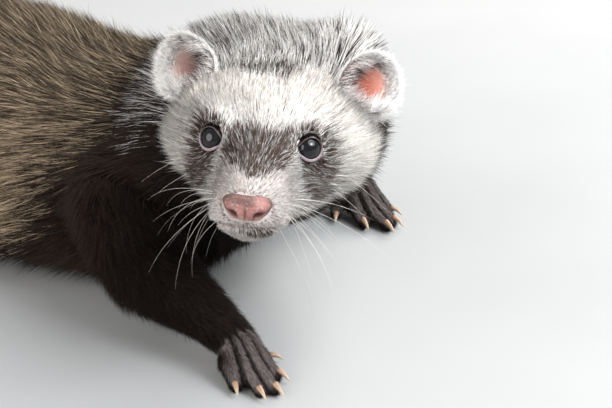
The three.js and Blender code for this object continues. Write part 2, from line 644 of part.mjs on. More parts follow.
const COLOURS = {
  dark_fur: { color: 0x2b211c, roughness: 0.9 },
  pale_fur: { color: 0xd8cdb8, roughness: 0.9 },
  flank_fur: { color: 0x8d7a5c, roughness: 0.9 },
  nose_skin: { color: 0xd08a80, roughness: 0.45 },
  ear_skin: { color: 0xe2c8bc, roughness: 0.8 },
  eye: { color: 0x0c0a0c, roughness: 0.05 },
  claw: { color: 0xcbb08c, roughness: 0.4 },
};
function slotOf(name) {
  if (name.includes("claw")) return "claw";
  if (name.endsWith("_eye")) return "eye";
  if (name.endsWith("_ear")) return "ear_skin";
  if (name === "nose") return "nose_skin";
  if (["head", "lower_jaw"].includes(name)) return "pale_fur";
  if (["belly", "hips"].includes(name)) return "flank_fur";
  return "dark_fur";
}

const ferret = new THREE.Group();
for (const [name, solid] of Object.entries(nodes)) {
  const mesh = solid.getMesh();
  const geometry = new THREE.BufferGeometry();
  geometry.setAttribute("position", new THREE.BufferAttribute(mesh.vertProperties, 3));
  geometry.setIndex(new THREE.BufferAttribute(mesh.triVerts, 1));
  const made = new THREE.Mesh(geometry, new THREE.MeshStandardMaterial({ ...COLOURS[slotOf(name)], metalness: 0 }));
  made.name = name;
  ferret.add(made);
}

// The origin lies under the middle of the whole, on the floor.
const middle = new THREE.Box3().setFromObject(ferret).getCenter(new THREE.Vector3());
for (const mesh of ferret.children) mesh.geometry.translate(-middle.x, -middle.y, 0);

export default ferret;
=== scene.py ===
# A life-size still model of a ferret: one skin under a coat of solid strands, with its eyes, nose,
# ears, claws and whiskers. Lengths in this script are in millimetres until make_object writes metres.
import math
import bmesh
import bpy
import numpy as np
from mathutils import Matrix, Vector
from mathutils.bvhtree import BVHTree


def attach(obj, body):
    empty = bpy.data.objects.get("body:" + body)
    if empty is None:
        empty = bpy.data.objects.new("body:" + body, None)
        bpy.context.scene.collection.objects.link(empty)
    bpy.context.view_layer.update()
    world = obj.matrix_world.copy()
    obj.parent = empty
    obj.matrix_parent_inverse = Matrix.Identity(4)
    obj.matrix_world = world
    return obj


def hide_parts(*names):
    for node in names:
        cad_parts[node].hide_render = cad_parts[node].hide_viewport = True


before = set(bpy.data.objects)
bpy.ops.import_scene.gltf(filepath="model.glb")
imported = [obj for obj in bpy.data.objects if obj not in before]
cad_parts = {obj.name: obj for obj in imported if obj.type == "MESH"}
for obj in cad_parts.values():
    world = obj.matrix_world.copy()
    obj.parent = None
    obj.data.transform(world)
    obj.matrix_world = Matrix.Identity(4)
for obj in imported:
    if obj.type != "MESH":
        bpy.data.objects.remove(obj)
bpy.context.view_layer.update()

MM = 0.001
SIDES = {"left": 1, "right": -1}

# Head: its axes, as in the solids
HEAD_YAW = math.radians(70)
HEAD_PITCH = math.radians(12)
HEAD_ROLL = math.radians(-8)
MOUTH_LINE = [(38, -10.2), (34, -10.2), (30, -11.6), (24, -12.8), (17, -12.6)]  # forward, up

# Eyes and lids. Places are forward, to the side and up from the head's centre
EYE_PLACE = (15.8, 10.8, 5.8)
EYE_GAZE = (0.84, 0.52, 0.16)
EYE_RADIUS = 4.0
CORNEA_RISE = 0.30
IRIS_EDGE = math.radians(75)
IRIS = [  # colours outwards, each at a share of the way to IRIS_EDGE
    (0.0, (0.002, 0.002, 0.003)), (0.40, (0.002, 0.002, 0.003)), (0.48, (0.005, 0.003, 0.002)),
    (0.70, (0.004, 0.003, 0.003)), (0.82, (0.02, 0.016, 0.016)), (1.0, (0.12, 0.10, 0.10)),
]
LID_AROUND, LID_ACROSS = 72, 10  # points round the opening and round the rim
LID_WIDE, LID_TALL = 2.7, 2.55  # half of the opening
LID_RIM = 0.55

# Nose
NOSE_PLACE = (35.6, 0.0, -5.6)
NOSE_RADII = (4.4, 5.7, 3.4)
NOSTRIL = [  # to the side, up, size and depth along each nostril, from its inner lower end outwards
    (2.0, -2.5, 0.32, 0.4), (1.95, -2.0, 0.36, 0.55), (2.15, -1.45, 0.45, 0.9), (2.6, -1.05, 0.60, 1.3),
    (3.1, -0.85, 0.68, 1.5), (3.6, -0.7, 0.60, 1.3), (4.0, -0.5, 0.45, 0.9), (4.4, -0.3, 0.36, 0.7),
    (4.8, -0.05, 0.30, 0.5), (5.1, 0.25, 0.28, 0.4),
]

# Ears
EAR_PLACE = (-7.5, 23.4, 17.8)
EAR_SHELL = 0.86  # share of the solid's size, the rest is fur
EAR_WIDE, EAR_TALL = EAR_SHELL * 9.2, EAR_SHELL * 9.8  # half of its width and height
EAR_CUP, EAR_THICK = 4.6, 1.5
EAR_AROUND, EAR_ROWS = 72, 14  # points round the ear, and rings from the middle to the rim

# Claws
CLAW_SHOWN = 0.8  # of the solid's length, worn blunt
CLAW_RADIUS = 0.85
CLAW_AROUND = 12

# Spine from the neck to the tip of the tail, as offsets from the head's centre
SPINE_AFTER_HEAD = [
    (30, 21, -6), (36, 38, -16), (37, 62, -21), (39, 92, -19), (39, 128, -17), (35, 162, -18), (26, 193, -22),
    (18, 217, -32), (12, 238, -43), (4, 263, -46.8), (-2, 290, -47.8), (-2, 318, -49), (4, 342, -50),
]

# Nodes of flesh
LIMB_CHAINS = [
    ["upper_arm", "forearm", "forepaw", "forepaw_claw"],
    ["thigh", "shin", "hindfoot", "hindfoot_claw"],
]
LIMB_NAMES = [name for chain in LIMB_CHAINS for name in chain[:3]]
LIMBS = [f"{side}_{name}" for side in SIDES for name in LIMB_NAMES]
TRUNK = ["neck", "chest", "belly", "hips", "tail_root", "tail_tip"]
HEAD_NODES = ["head", "lower_jaw"]
PAWS = ["forepaw", "hindfoot"]
FLESH = HEAD_NODES + TRUNK + LIMBS

# Making of the skin
FLESH_GROWTH = 0.4  # so that the solids meet
VOXEL = 0.9
TRIANGLES_KEPT = 0.55  # the rest are taken from the trunk and the legs
SKIN_STEPS = 5  # in which the skin is drawn in by the depth of the coat
SKIN_LOWEST = 0.05

# Coat by node, apart from the head's: how deep it lies and how long its hairs are
COAT = {
    "neck": (5.5, 11.0), "chest": (6.0, 13.0), "belly": (6.5, 14.0), "hips": (6.5, 15.0),
    "tail_root": (6.0, 18.0), "tail_tip": (4.8, 20.0),
    "upper_arm": (4.0, 9.5), "forearm": (2.4, 6.0), "forepaw": (0.6, 1.9),
    "thigh": (5.0, 11.0), "shin": (2.4, 6.0), "hindfoot": (0.6, 1.9),
}
FLOOR_ROOM = 0.35  # the lowest that the middle line of a hair lies
HAIR_LOWEST = 0.03
HAIR_THICK = 0.96  # how thick a hair is, as a share of half its width
MARKED_AT = 0.5  # how far along a hair the marking that it shows lies
FLYAWAY = 0.05  # share of hairs that stand up
PATCH = 0.003  # size of a hair on its map

# Markings: bars between two circles, each given by its place to the side and up, and its radius. The
# smudge lies about the middle of the nose
EYE_PATCH = (14.0, 3.0, 4.5), (14.6, -7.2, 3.1)
BROW_PATCH = (11.6, 6.4, 2.5), (14.5, 6.2, 2.6)
CHIN_PATCH = (-2.4, -12.0, 0.8), (2.6, -12.0, 1.0)
SMUDGE = (-4.4, 2.6, 1.3), (0.6, 2.2, 1.5)
SMUDGE_TAIL = (-0.3, 1.0, 0.6), (0.0, -0.6, 0.1)

# Camera: where the photo was taken from
CAMERA_AZIMUTH = math.radians(-62)
CAMERA_ELEVATION = math.radians(24)
CAMERA_ROLL = math.radians(5)
CAMERA_DISTANCE = 600.0
SENSOR = 36.0
CAMERA_LENS = 2400 / 612 * SENSOR
PHOTO_SIZE = (612, 408)
HEAD_AT = (267, 152)  # where the head's centre lies in the photo

# Studio
KEY_TURN, KEY_RISE = math.radians(46), math.radians(37)  # of the key light, from the camera
FLOOR_SPAN, FLOOR_BACK, FLOOR_BEND, WALL_RISE = 4000.0, 1200.0, 900.0, 2600.0

# Colours, linear
WHITE_TIP = np.array([0.87, 0.84, 0.81])
WHITE_ROOT = np.array([0.78, 0.71, 0.65])
CREAM_TIP = np.array([0.82, 0.74, 0.62])
MASK_ROOT = np.array([0.035, 0.024, 0.020])
MASK_TIP = np.array([0.150, 0.105, 0.085])
CROWN_ROOT = np.array([0.070, 0.060, 0.056])
DARK_ROOT = np.array([0.012, 0.008, 0.007])
DARK_TIP = np.array([0.021, 0.015, 0.013])
BROWN_TIP = np.array([0.095, 0.060, 0.042])
FLANK_ROOT = np.array([0.42, 0.32, 0.21])
FLANK_TIP = np.array([0.52, 0.405, 0.28])
# Greyish brown of the paws' hair, partly its own tone, partly painted sheen for the tops of the toes
PAW_TONE_AND_SHEEN = np.array([0.44, 0.37, 0.345])
MUZZLE_PINK = np.array([0.80, 0.66, 0.60])
WHISKER_TONE = np.array([0.80, 0.74, 0.67])
# Dark of the lips' own skin, and painted shade in the crease of the mouth
MOUTH_LIP_AND_SHADE = np.array([0.12, 0.06, 0.05])
NOSE_PINK = np.array([0.38, 0.165, 0.145])
NOSE_PALE = np.array([0.46, 0.235, 0.205])
NOSE_SMUDGE = np.array([0.085, 0.048, 0.038])
# Dark of the nostrils' own skin, and painted shade in the nostrils and the groove of the pad
NOSE_PIT_SKIN_AND_SHADE = np.array([0.07, 0.02, 0.02])
LID_LOW = np.array([0.34, 0.27, 0.285])
LID_HIGH = np.array([0.10, 0.07, 0.065])
# Insides of the ears, pink of their own, with painted light: the left ear's painted vivid as if lit through
# from behind, the right ear's painted greyer as in shade
EAR_DEEP_GLOW_AND_SHADE = {"left": np.array([0.45, 0.12, 0.068]), "right": np.array([0.22, 0.12, 0.10])}
EAR_PALE_GLOW_AND_SHADE = {"left": np.array([0.74, 0.36, 0.28]), "right": np.array([0.42, 0.29, 0.26])}


def unit(vectors):
    return vectors / np.maximum(np.linalg.norm(vectors, axis=-1, keepdims=True), 1e-12)


def dot(a, b):
    return (a * b).sum(-1)


def step(value, low, high):
    """0 below low, 1 above high, smooth between; low may be above high."""
    t = np.clip((value - low) / (high - low), 0, 1)
    return t * t * (3 - 2 * t)


def bell(value, width):
    """1 where the value is 0, falling to 0 on both sides of it."""
    return np.exp(-((value / width) ** 2))


def mix(a, b, share):
    """From a towards b by the share, which is one number or one for each vector or colour."""
    share = np.asarray(share)
    if np.ndim(a) > 0 and np.shape(a)[-1] == 3 and share.ndim > 0:
        share = share[..., None]
    return a + (b - a) * share


def raised(points, lowest):
    """The points, with none under the given height."""
    return np.maximum(points, [-math.inf, -math.inf, lowest])


def lumps(points, size, seed):
    """Smooth noise from about -1 to 1, with lumps of about the given size."""
    WAVES = 7
    rng = np.random.default_rng(seed)
    total = np.zeros(len(points))
    for _ in range(WAVES):
        way = unit(rng.normal(size=3)) * rng.uniform(0.7, 1.4) / size
        total += np.sin(points @ way * math.pi + rng.uniform(0, 2 * math.pi))
    return total / 3


def mesh_arrays(mesh):
    """Points in millimetres and triangles of a Blender mesh."""
    mesh.calc_loop_triangles()
    points = np.empty(len(mesh.vertices) * 3, np.float32)
    mesh.vertices.foreach_get("co", points)
    triangles = np.empty(len(mesh.loop_triangles) * 3, np.int32)
    mesh.loop_triangles.foreach_get("vertices", triangles)
    return points.reshape(-1, 3).astype(float) / MM, triangles.reshape(-1, 3)


def node_arrays(name):
    return mesh_arrays(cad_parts[name].data)


def node_centre(name):
    points, _ = node_arrays(name)
    return (points.min(0) + points.max(0)) / 2


def way_at(turn, rise):
    """The way that is turned about Z from -Y, and then raised."""
    return np.array([math.sin(turn) * math.cos(rise), -math.cos(turn) * math.cos(rise), math.sin(rise)])


# Head's axes and centre, from the eyes of the solids
FORWARD = way_at(-HEAD_YAW, HEAD_PITCH)
level = unit(np.cross([0.0, 0.0, 1.0], FORWARD))
LEFT = level * math.cos(HEAD_ROLL) + np.cross(FORWARD, level) * math.sin(HEAD_ROLL)
UPWARD = np.cross(FORWARD, LEFT)
EYES = {side: node_centre(f"{side}_eye") for side in SIDES}
HEAD = sum(EYES.values()) / 2 - EYE_PLACE[0] * FORWARD - EYE_PLACE[2] * UPWARD


def in_head(forward, left, up):
    return HEAD + forward * FORWARD + left * LEFT + up * UPWARD


def head_way(forward, left, up):
    return unit(forward * FORWARD + left * LEFT + up * UPWARD)


def head_places(points):
    """How far forward, to the left and up each point lies from the head's centre."""
    offset = points - HEAD
    return offset @ FORWARD, offset @ LEFT, offset @ UPWARD


def catmull(points, steps):
    """A smooth line through the points."""
    points = np.array(points, float)
    padded = np.vstack([2 * points[0] - points[1], points, 2 * points[-1] - points[-2]])
    t = np.linspace(0, 1, steps, endpoint=False)[:, None]
    parts = []
    for a, b, c, d in zip(padded, padded[1:], padded[2:], padded[3:]):
        parts.append(0.5 * (2 * b + (c - a) * t + (2 * a - 5 * b + 4 * c - d) * t**2
                            + (3 * b - a - 3 * c + d) * t**3))
    return np.vstack(parts + [points[-1:]])


SPINE = catmull([HEAD, in_head(-20, 0, 0)] + [HEAD + offset for offset in SPINE_AFTER_HEAD], 20)
SPINE_WAY = unit(np.gradient(SPINE, axis=0))
SPINE_ALONG = np.concatenate([[0], np.cumsum(np.linalg.norm(np.diff(SPINE, axis=0), axis=1))])


def on_spine(points):
    """The number of the spine's point nearest each point."""
    AT_ONCE = 20000
    nearest = np.empty(len(points), int)
    for part in np.array_split(np.arange(len(points)), max(1, len(points) // AT_ONCE)):
        offset = points[part, None] - SPINE[None]
        nearest[part] = (offset**2).sum(-1).argmin(1)
    return nearest


# Meshes
def add_object(name, data):
    """A new object of the scene, of a mesh, a lamp or a camera."""
    made = bpy.data.objects.new(name, data)
    bpy.context.scene.collection.objects.link(made)
    return made


def make_object(name, points, faces, material, colours=None, patches=None, values=None):
    """A smooth mesh object in metres. colours, values and patches, which are places on the map
    OFBake, are given for each point."""
    mesh = bpy.data.meshes.new(name)
    faces = np.asarray(faces, np.int32)
    mesh.vertices.add(len(points))
    mesh.vertices.foreach_set("co", (np.asarray(points) * MM).astype(np.float32).ravel())
    mesh.loops.add(faces.size)
    mesh.loops.foreach_set("vertex_index", faces.ravel())
    mesh.polygons.add(len(faces))
    mesh.polygons.foreach_set("loop_start", np.arange(0, faces.size, faces.shape[1], dtype=np.int32))
    mesh.update(calc_edges=True)
    mesh.polygons.foreach_set("use_smooth", np.full(len(faces), True))
    if patches is not None:
        layer = mesh.uv_layers.new(name="OFBake")
        layer.data.foreach_set("uv", patches[faces.ravel()].astype(np.float32).ravel())
    if colours is not None:
        layer = mesh.attributes.new("coat", "FLOAT_COLOR", "POINT")
        rgba = np.ones((len(points), 4), np.float32)
        rgba[:, :3] = colours
        layer.data.foreach_set("color", rgba.ravel())
    for word, numbers in (values or {}).items():
        layer = mesh.attributes.new(word, "FLOAT", "POINT")
        layer.data.foreach_set("value", np.asarray(numbers, np.float32))
    mesh.materials.append(material)
    return add_object(name, mesh)


def add_piece(name, slot, points, faces, material, replaced=(), **layers):
    """A piece of the model, in place of the nodes in replaced. slot is not used."""
    piece = make_object(name, points, faces, material, **layers)
    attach(piece, "root")
    if replaced:
        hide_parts(*replaced)


def joined(parts):
    """Many meshes as one: points, faces and further values."""
    points, faces, values = zip(*parts)
    before = np.cumsum([0] + [len(part) for part in points])
    faces = [part + count for part, count in zip(faces, before)]
    return np.vstack(points), np.vstack(faces), np.concatenate(values)


def ring_faces(around, rings):
    """Triangles of a closed form whose points are one end, rings of points and the other end."""
    faces = []
    last_ring = 1 + (rings - 1) * around
    for i in range(around):
        j = (i + 1) % around
        faces += [(0, 1 + i, 1 + j), (last_ring + around, last_ring + j, last_ring + i)]
        for start in range(1, last_ring, around):
            a, b = start + i, start + j
            faces += [(a, a + around, b + around), (a, b + around, b)]
    return np.array(faces)


def ball_mesh(around, down):
    """A unit ball round +Z: its points and triangles."""
    polar = math.pi * np.arange(1, down)[:, None] / down
    turn = 2 * math.pi * np.arange(around) / around
    rings = np.broadcast_arrays(np.sin(polar) * np.cos(turn), np.sin(polar) * np.sin(turn), np.cos(polar))
    points = np.vstack([[0, 0, 1], np.stack(rings, axis=-1).reshape(-1, 3), [0, 0, -1]])
    return points, ring_faces(around, down - 1)


def tube(line, radii, around, flat=1.0, up_hint=(0.0, 0.0, 1.0)):
    """A closed tube round a line, ending in points or small discs."""
    way = unit(np.gradient(line, axis=0))
    side = unit(np.cross(np.broadcast_to(up_hint, way.shape), way))
    over = np.cross(way, side)
    turn = 2 * math.pi * np.arange(around)[:, None] / around
    out = np.cos(turn) * side[:, None] + flat * np.sin(turn) * over[:, None]
    rings = line[:, None] + radii[:, None, None] * out
    points = np.vstack([line[:1], rings.reshape(-1, 3), line[-1:]])
    return points, ring_faces(around, len(line))[:, ::-1]


def frame_round(way, up_hint):
    """Three axes as columns: to the side, up and along the way."""
    side = unit(np.cross(up_hint, way))
    return np.stack([side, np.cross(way, side), way], axis=1)


def normals_of(points, triangles):
    a, b, c = (points[triangles[:, i]] for i in range(3))
    across = np.cross(b - a, c - a)
    total = np.zeros_like(points)
    for corner in range(3):
        for axis in range(3):
            total[:, axis] += np.bincount(triangles[:, corner], across[:, axis], len(points))
    return unit(total)


def edges_of(triangles):
    pairs = np.vstack([triangles[:, [0, 1]], triangles[:, [1, 2]], triangles[:, [2, 0]]])
    return np.unique(np.sort(pairs, axis=1), axis=0)


def smoothed(values, edges, times, share=1.0):
    """Each point's value moved towards the mean of its neighbours' values."""
    values = np.array(values, float)
    flat = values.reshape(len(values), -1)
    a, b = edges.T
    count = np.bincount(a, minlength=len(flat)) + np.bincount(b, minlength=len(flat))
    count = np.maximum(count, 1)
    for _ in range(times):
        for column in range(flat.shape[1]):
            one = flat[:, column]
            total = np.bincount(a, one[b], len(flat)) + np.bincount(b, one[a], len(flat))
            flat[:, column] = one + share * (total / count - one)
    return flat.reshape(values.shape)


class Surface:
    """A mesh that hair grows from, with a lie at each point."""

    def __init__(self, points, triangles, normals, lie):
        self.points = points
        self.triangles = triangles
        self.normals = normals
        self.lie = lie
        a, b, c = (points[triangles[:, i]] for i in range(3))
        self.areas = np.linalg.norm(np.cross(b - a, c - a), axis=1) / 2

    def of_faces(self, values):
        return values[self.triangles].mean(1)


# The skin: the flesh of the solids as one surface, drawn in by the depth of the coat
def plain_name(name):
    return name.replace("left_", "").replace("right_", "")


def in_nodes(owner, *names):
    """Which points belong to the nodes of these names, on either side. owner gives numbers in FLESH."""
    return np.isin(owner, [number for number, name in enumerate(FLESH) if plain_name(name) in names])


def node_of(points):
    """The number in FLESH of the solid nearest each point."""
    parts = []
    for number, name in enumerate(FLESH):
        corners, faces = node_arrays(name)
        parts.append((corners, faces, np.full(len(faces), number)))
    corners, faces, owner = joined(parts)
    tree = BVHTree.FromPolygons(corners.tolist(), faces.tolist())
    return owner[[tree.find_nearest(point)[2] for point in points.tolist()]]


def as_shown(piece):
    """The piece's mesh with its modifiers applied."""
    bpy.context.view_layer.update()
    return bpy.data.meshes.new_from_object(piece.evaluated_get(bpy.context.evaluated_depsgraph_get()))


def joined_flesh():
    """Points and triangles of the nodes of flesh as one surface."""
    bm = bmesh.new()
    for name in FLESH + ["nose"]:
        bm.from_mesh(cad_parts[name].data)
    bmesh.ops.remove_doubles(bm, verts=bm.verts, dist=0.002 * MM)
    bm.normal_update()
    for vertex in bm.verts:
        vertex.co += vertex.normal * FLESH_GROWTH * MM
    mesh = bpy.data.meshes.new("flesh")
    bm.to_mesh(mesh)
    bm.free()
    flesh = add_object("flesh", mesh)
    remesh = flesh.modifiers.new("one_surface", "REMESH")
    remesh.mode = "VOXEL"
    remesh.voxel_size = VOXEL * MM
    flesh.data = as_shown(flesh)
    flesh.modifiers.clear()
    points, _ = mesh_arrays(flesh.data)
    plain = ~in_nodes(node_of(points), *HEAD_NODES, *PAWS)
    coarse = flesh.vertex_groups.new(name="coarse")
    coarse.add(np.nonzero(plain)[0].tolist(), 1.0, "REPLACE")
    thin = flesh.modifiers.new("thin", "DECIMATE")
    thin.ratio = TRIANGLES_KEPT
    thin.vertex_group = coarse.name
    points, triangles = mesh_arrays(as_shown(flesh))
    bpy.data.objects.remove(flesh)
    return points, triangles


def eye_gaze(side):
    return head_way(EYE_GAZE[0], SIDES[side] * EYE_GAZE[1], EYE_GAZE[2])


def eye_front(side):
    """Where the middle of the eye's opening lies."""
    return EYES[side] + EYE_RADIUS * eye_gaze(side)


def near_eye(points):
    return np.minimum(*(np.linalg.norm(points - eye_front(side), axis=1) for side in SIDES))


def face_depth(points):
    """Depth of the coat over the head, thin on the muzzle and round the eyes."""
    forward, left, up = head_places(points)
    depth = np.interp(forward, [-30, -15, 0, 12, 22, 30, 36], [5.5, 5.0, 3.6, 2.4, 1.2, 0.8, 0.6])
    cheek = step(abs(left), 14, 20) * step(up, 12, 4)
    depth = depth + 1.4 * cheek * step(forward, 24, 12)
    return depth * (0.35 + 0.65 * step(near_eye(points), 3.4, 8))


def face_length(points):
    """Length of the hair over the head."""
    forward, left, up = head_places(points)
    length = np.interp(forward, [-30, -15, 0, 12, 20, 27, 33, 36], [11, 9.5, 7.5, 5.6, 4.2, 3.0, 1.9, 1.4])
    cheek = step(abs(left), 12, 19) * step(up, 12, 2) * step(forward, 26, 14)
    length = length * (1 + 0.5 * cheek)
    return length * (0.34 + 0.66 * step(near_eye(points), 3.2, 9))


def claw_ends(paw, number):
    """The base and the tip of a claw's solid."""
    solid, _ = node_arrays(f"{paw}_claw_{number}")
    way = solid - node_centre(paw)
    reach = np.hypot(way[:, 0], way[:, 1])
    return solid[reach < reach.min() + 0.8].mean(0), solid[reach.argmax()]


def toe_ridge(points, owner):
    """1 along the middle of a toe, 0 between two toes, and 1 on the rest of the skin."""
    ridge = np.ones(len(points))
    for number, name in enumerate(FLESH):
        if plain_name(name) not in PAWS:
            continue
        here = owner == number
        gaps = []
        for toe in range(1, 6):
            base, tip = claw_ends(name, toe)
            way = unit((tip - base)[:2])
            offset = (points[here] - base)[:, :2]
            gaps.append(abs(offset[:, 0] * way[1] - offset[:, 1] * way[0]))
        gaps = np.sort(gaps, axis=0)
        ridge[here] = step(gaps[1] - gaps[0], 0.1, 1.7)
    return ridge


def limb_way(name):
    """The way that a limb's node runs, towards its claws."""
    side, plain = name.split("_", 1)
    chain = next(c for c in LIMB_CHAINS if plain in c)
    after = chain[chain.index(plain) + 1]
    if after.endswith("claw"):
        end = sum(node_centre(f"{side}_{after}_{i}") for i in range(1, 6)) / 5
    else:
        end = node_centre(f"{side}_{after}")
    return unit(end - node_centre(name))


def along_skin(way, normals):
    """The part of the way that runs along the skin."""
    return way - normals * dot(way, normals)[:, None]


def lie_of(points, normals, owner):
    """The way that the hair lies at each point of the skin."""
    LIMB_SHARE = {"upper_arm": 0.7, "thigh": 0.45}  # of the limb's own way, the rest is the body's
    way = SPINE_WAY[on_spine(points)] + np.array([0, 0, -0.25])
    for number, name in enumerate(FLESH):
        if name in LIMBS:
            here = owner == number
            way[here] = mix(unit(way[here]), limb_way(name), LIMB_SHARE.get(plain_name(name), 1.0))
    from_nose = unit(points - in_head(38, 0, -3))
    for side, sign in SIDES.items():
        away = unit(points - eye_front(side) + 2.5 * head_way(0.6, -sign * 0.6, -0.2))
        close = step(np.linalg.norm(points - eye_front(side), axis=1), 9, 4)
        from_nose = mix(from_nose, away, 0.7 * close)
    forward, _, _ = head_places(points)
    on_head = step(forward, -32, -8) * in_nodes(owner, "neck", *HEAD_NODES)
    return along_skin(mix(unit(way), from_nose, on_head), normals)


def nose_gap(points):
    """How far each point lies from the middle of the nose, as a share of the nose's size."""
    offset = np.stack(head_places(points), axis=1) - NOSE_PLACE
    return np.linalg.norm(offset / (np.array(NOSE_RADII) + 0.2), axis=1)


def mouth_gap(points):
    """How far each point lies above or below the line of the mouth."""
    forward, _, up = head_places(points)
    line = np.array(MOUTH_LINE)[::-1]
    gap = abs(up - np.interp(forward, line[:, 0], line[:, 1]))
    return gap + 10 * step(forward, 21, 18)


def with_mouth(points, triangles):
    """Presses the line of the mouth and the groove under the nose into the skin."""
    forward, left, up = head_places(points)
    under_nose = step(up, NOSE_PLACE[2] - 2, NOSE_PLACE[2] - 3) * step(up, -10.5, -9.5)
    groove = bell(left, 0.5) * under_nose * step(forward, 30, 33)
    press = 0.9 * bell(mouth_gap(points), 0.55) + 0.4 * groove
    return points - normals_of(points, triangles) * press[:, None]


def make_skin():
    """The flesh drawn in under the coat, with its toes parted, its mouth pressed in and room for the
    eyes and the nose."""
    points, triangles = joined_flesh()
    edges = edges_of(triangles)
    owner = node_of(points)
    fine = smoothed(1.0 * in_nodes(owner, *HEAD_NODES, *PAWS), edges, 8)
    points = mix(smoothed(points, edges, 26, 0.6), smoothed(points, edges, 3, 0.6), fine)
    on_floor = step(points[:, 2], 1.2, 0.2)
    on_head = in_nodes(owner, *HEAD_NODES)
    depth, length = np.array([COAT.get(plain_name(name), (0, 0)) for name in FLESH]).T[:, owner]
    depth = np.where(on_head, face_depth(points), depth)
    length = np.where(on_head, face_length(points), length)
    depth, length = (np.where(on_head, smoothed(value, edges, 4), smoothed(value, edges, 30))
                     for value in (depth, length))
    for _ in range(SKIN_STEPS):
        points = points - normals_of(points, triangles) * depth[:, None] / SKIN_STEPS
        points = smoothed(points, edges, 2, 0.5)
    points[:, 2] = mix(points[:, 2], SKIN_LOWEST, on_floor)
    points = points - normals_of(points, triangles) * 1.2 * (1 - toe_ridge(points, owner))[:, None]
    points = raised(points, SKIN_LOWEST)
    room = EYE_RADIUS + 0.15
    for eye in EYES.values():
        offset = points - eye
        inside = np.linalg.norm(offset, axis=1) < room
        points = np.where(inside[:, None], eye + unit(offset) * room, points)
    points = with_mouth(points, triangles)
    nose = in_head(*NOSE_PLACE)
    points = mix(points, nose + (points - nose) * 0.7, step(nose_gap(points), 1.05, 0.85))
    normals = normals_of(points, triangles)
    lie = unit(smoothed(lie_of(points, normals, owner), edges, 12))
    surface = Surface(points, triangles, normals, along_skin(lie, normals))
    surface.owner = owner
    surface.depth = depth
    surface.length = length * (1 - 0.35 * step(points[:, 1], 155, 176))
    return surface


# Markings, the same for the skin and for the coat
def tapered(x, y, start, end, soft):
    """1 inside a rounded bar between two circles (x, y, radius), 0 outside, soft at its edge."""
    (x0, y0, r0), (x1, y1, r1) = start, end
    along = np.clip(((x - x0) * (x1 - x0) + (y - y0) * (y1 - y0)) / ((x1 - x0) ** 2 + (y1 - y0) ** 2), 0, 1)
    distance = np.hypot(x - x0 - along * (x1 - x0), y - y0 - along * (y1 - y0))
    return step(r0 + along * (r1 - r0) - distance, -soft, soft)


def markings(points, owner, loose):
    """How much of each marking is at each point. loose shifts each hair a little, so edges are ragged."""
    ragged = points + loose * 0.42 + lumps(points, 3.0, 5)[:, None] * 0.35
    forward, left, up = head_places(ragged)
    aside = abs(left)
    high = 0.978 * up - 0.208 * forward  # up, in axes tilted by 12 degrees
    patches = np.maximum(tapered(aside, high, *EYE_PATCH, 0.9), 0.85 * tapered(aside, high, *BROW_PATCH, 0.9))
    half_wide = np.interp(high, [-6, -5, -4, -3, -1, 5], [0, 2.6, 5.0, 7.2, 9.0, 8.6])
    half_wide = half_wide + 0.9 * lumps(points, 1.6, 12) * step(high, 0, -3)
    bridge = step(half_wide - aside, -0.7, 0.9) * step(high, 7.6, 4.8) * (high > -6.2)
    chin = tapered(left - 2.6, up, *CHIN_PATCH, 0.8) * step(forward, 28, 30)
    mask = np.maximum(np.maximum(patches, bridge) * step(forward, 4, 9), chin)
    wide_right = 4.5 + np.maximum(3.5 - forward, 0) * 0.67
    wide_left = 5.0 + np.maximum(-forward, 0) * 0.16 + np.maximum(-12 - forward, 0) * 0.3
    crown = step(np.where(left < 0, wide_right, wide_left) - aside, -2.0, 2.5) * step(forward, 5.5, 1.0)
    white_from = -8 + 26 * step(up, -2, -15) - 4 * step(up, 8, 14)
    along = ragged[:, 1] + 5 * lumps(points, 16.0, 8)
    flank = step(along + 0.8 * ragged[:, 2], -72, -44) * step(along, 116, 84) * ~in_nodes(owner, *LIMB_NAMES)
    return dict(
        mask=mask,
        crown=crown * step(up, 6, 12),
        face=step(forward - white_from, -3.0, 2.0),
        flank=flank + 0.55 * in_nodes(owner, "thigh") * step(ragged[:, 2], 18, 34),
        paw=in_nodes(owner, *PAWS),
        muzzle=step(forward, 20, 27) * in_nodes(owner, *HEAD_NODES),
        forward=forward, left=left, up=up,
    )


def cell_of(points, size, blur, rng):
    """The number of the small cell that each point lies in. blur is a share of the cell's size."""
    cell = np.floor((points + rng.normal(0, blur * size, points.shape)) / size).astype(int)
    return np.unique(cell, axis=0, return_inverse=True)[1].ravel()


def shared_draws(points, size, rng):
    """One random number for each small cell of the given size, the same for all the points in it."""
    which = cell_of(points, size, 0.15, rng)
    return rng.random(which.max() + 1)[which]


def ends(root, tip):
    """The colours of hairs at their roots and at their tips, as one array."""
    return np.stack(np.broadcast_arrays(np.atleast_2d(root), np.atleast_2d(tip)))


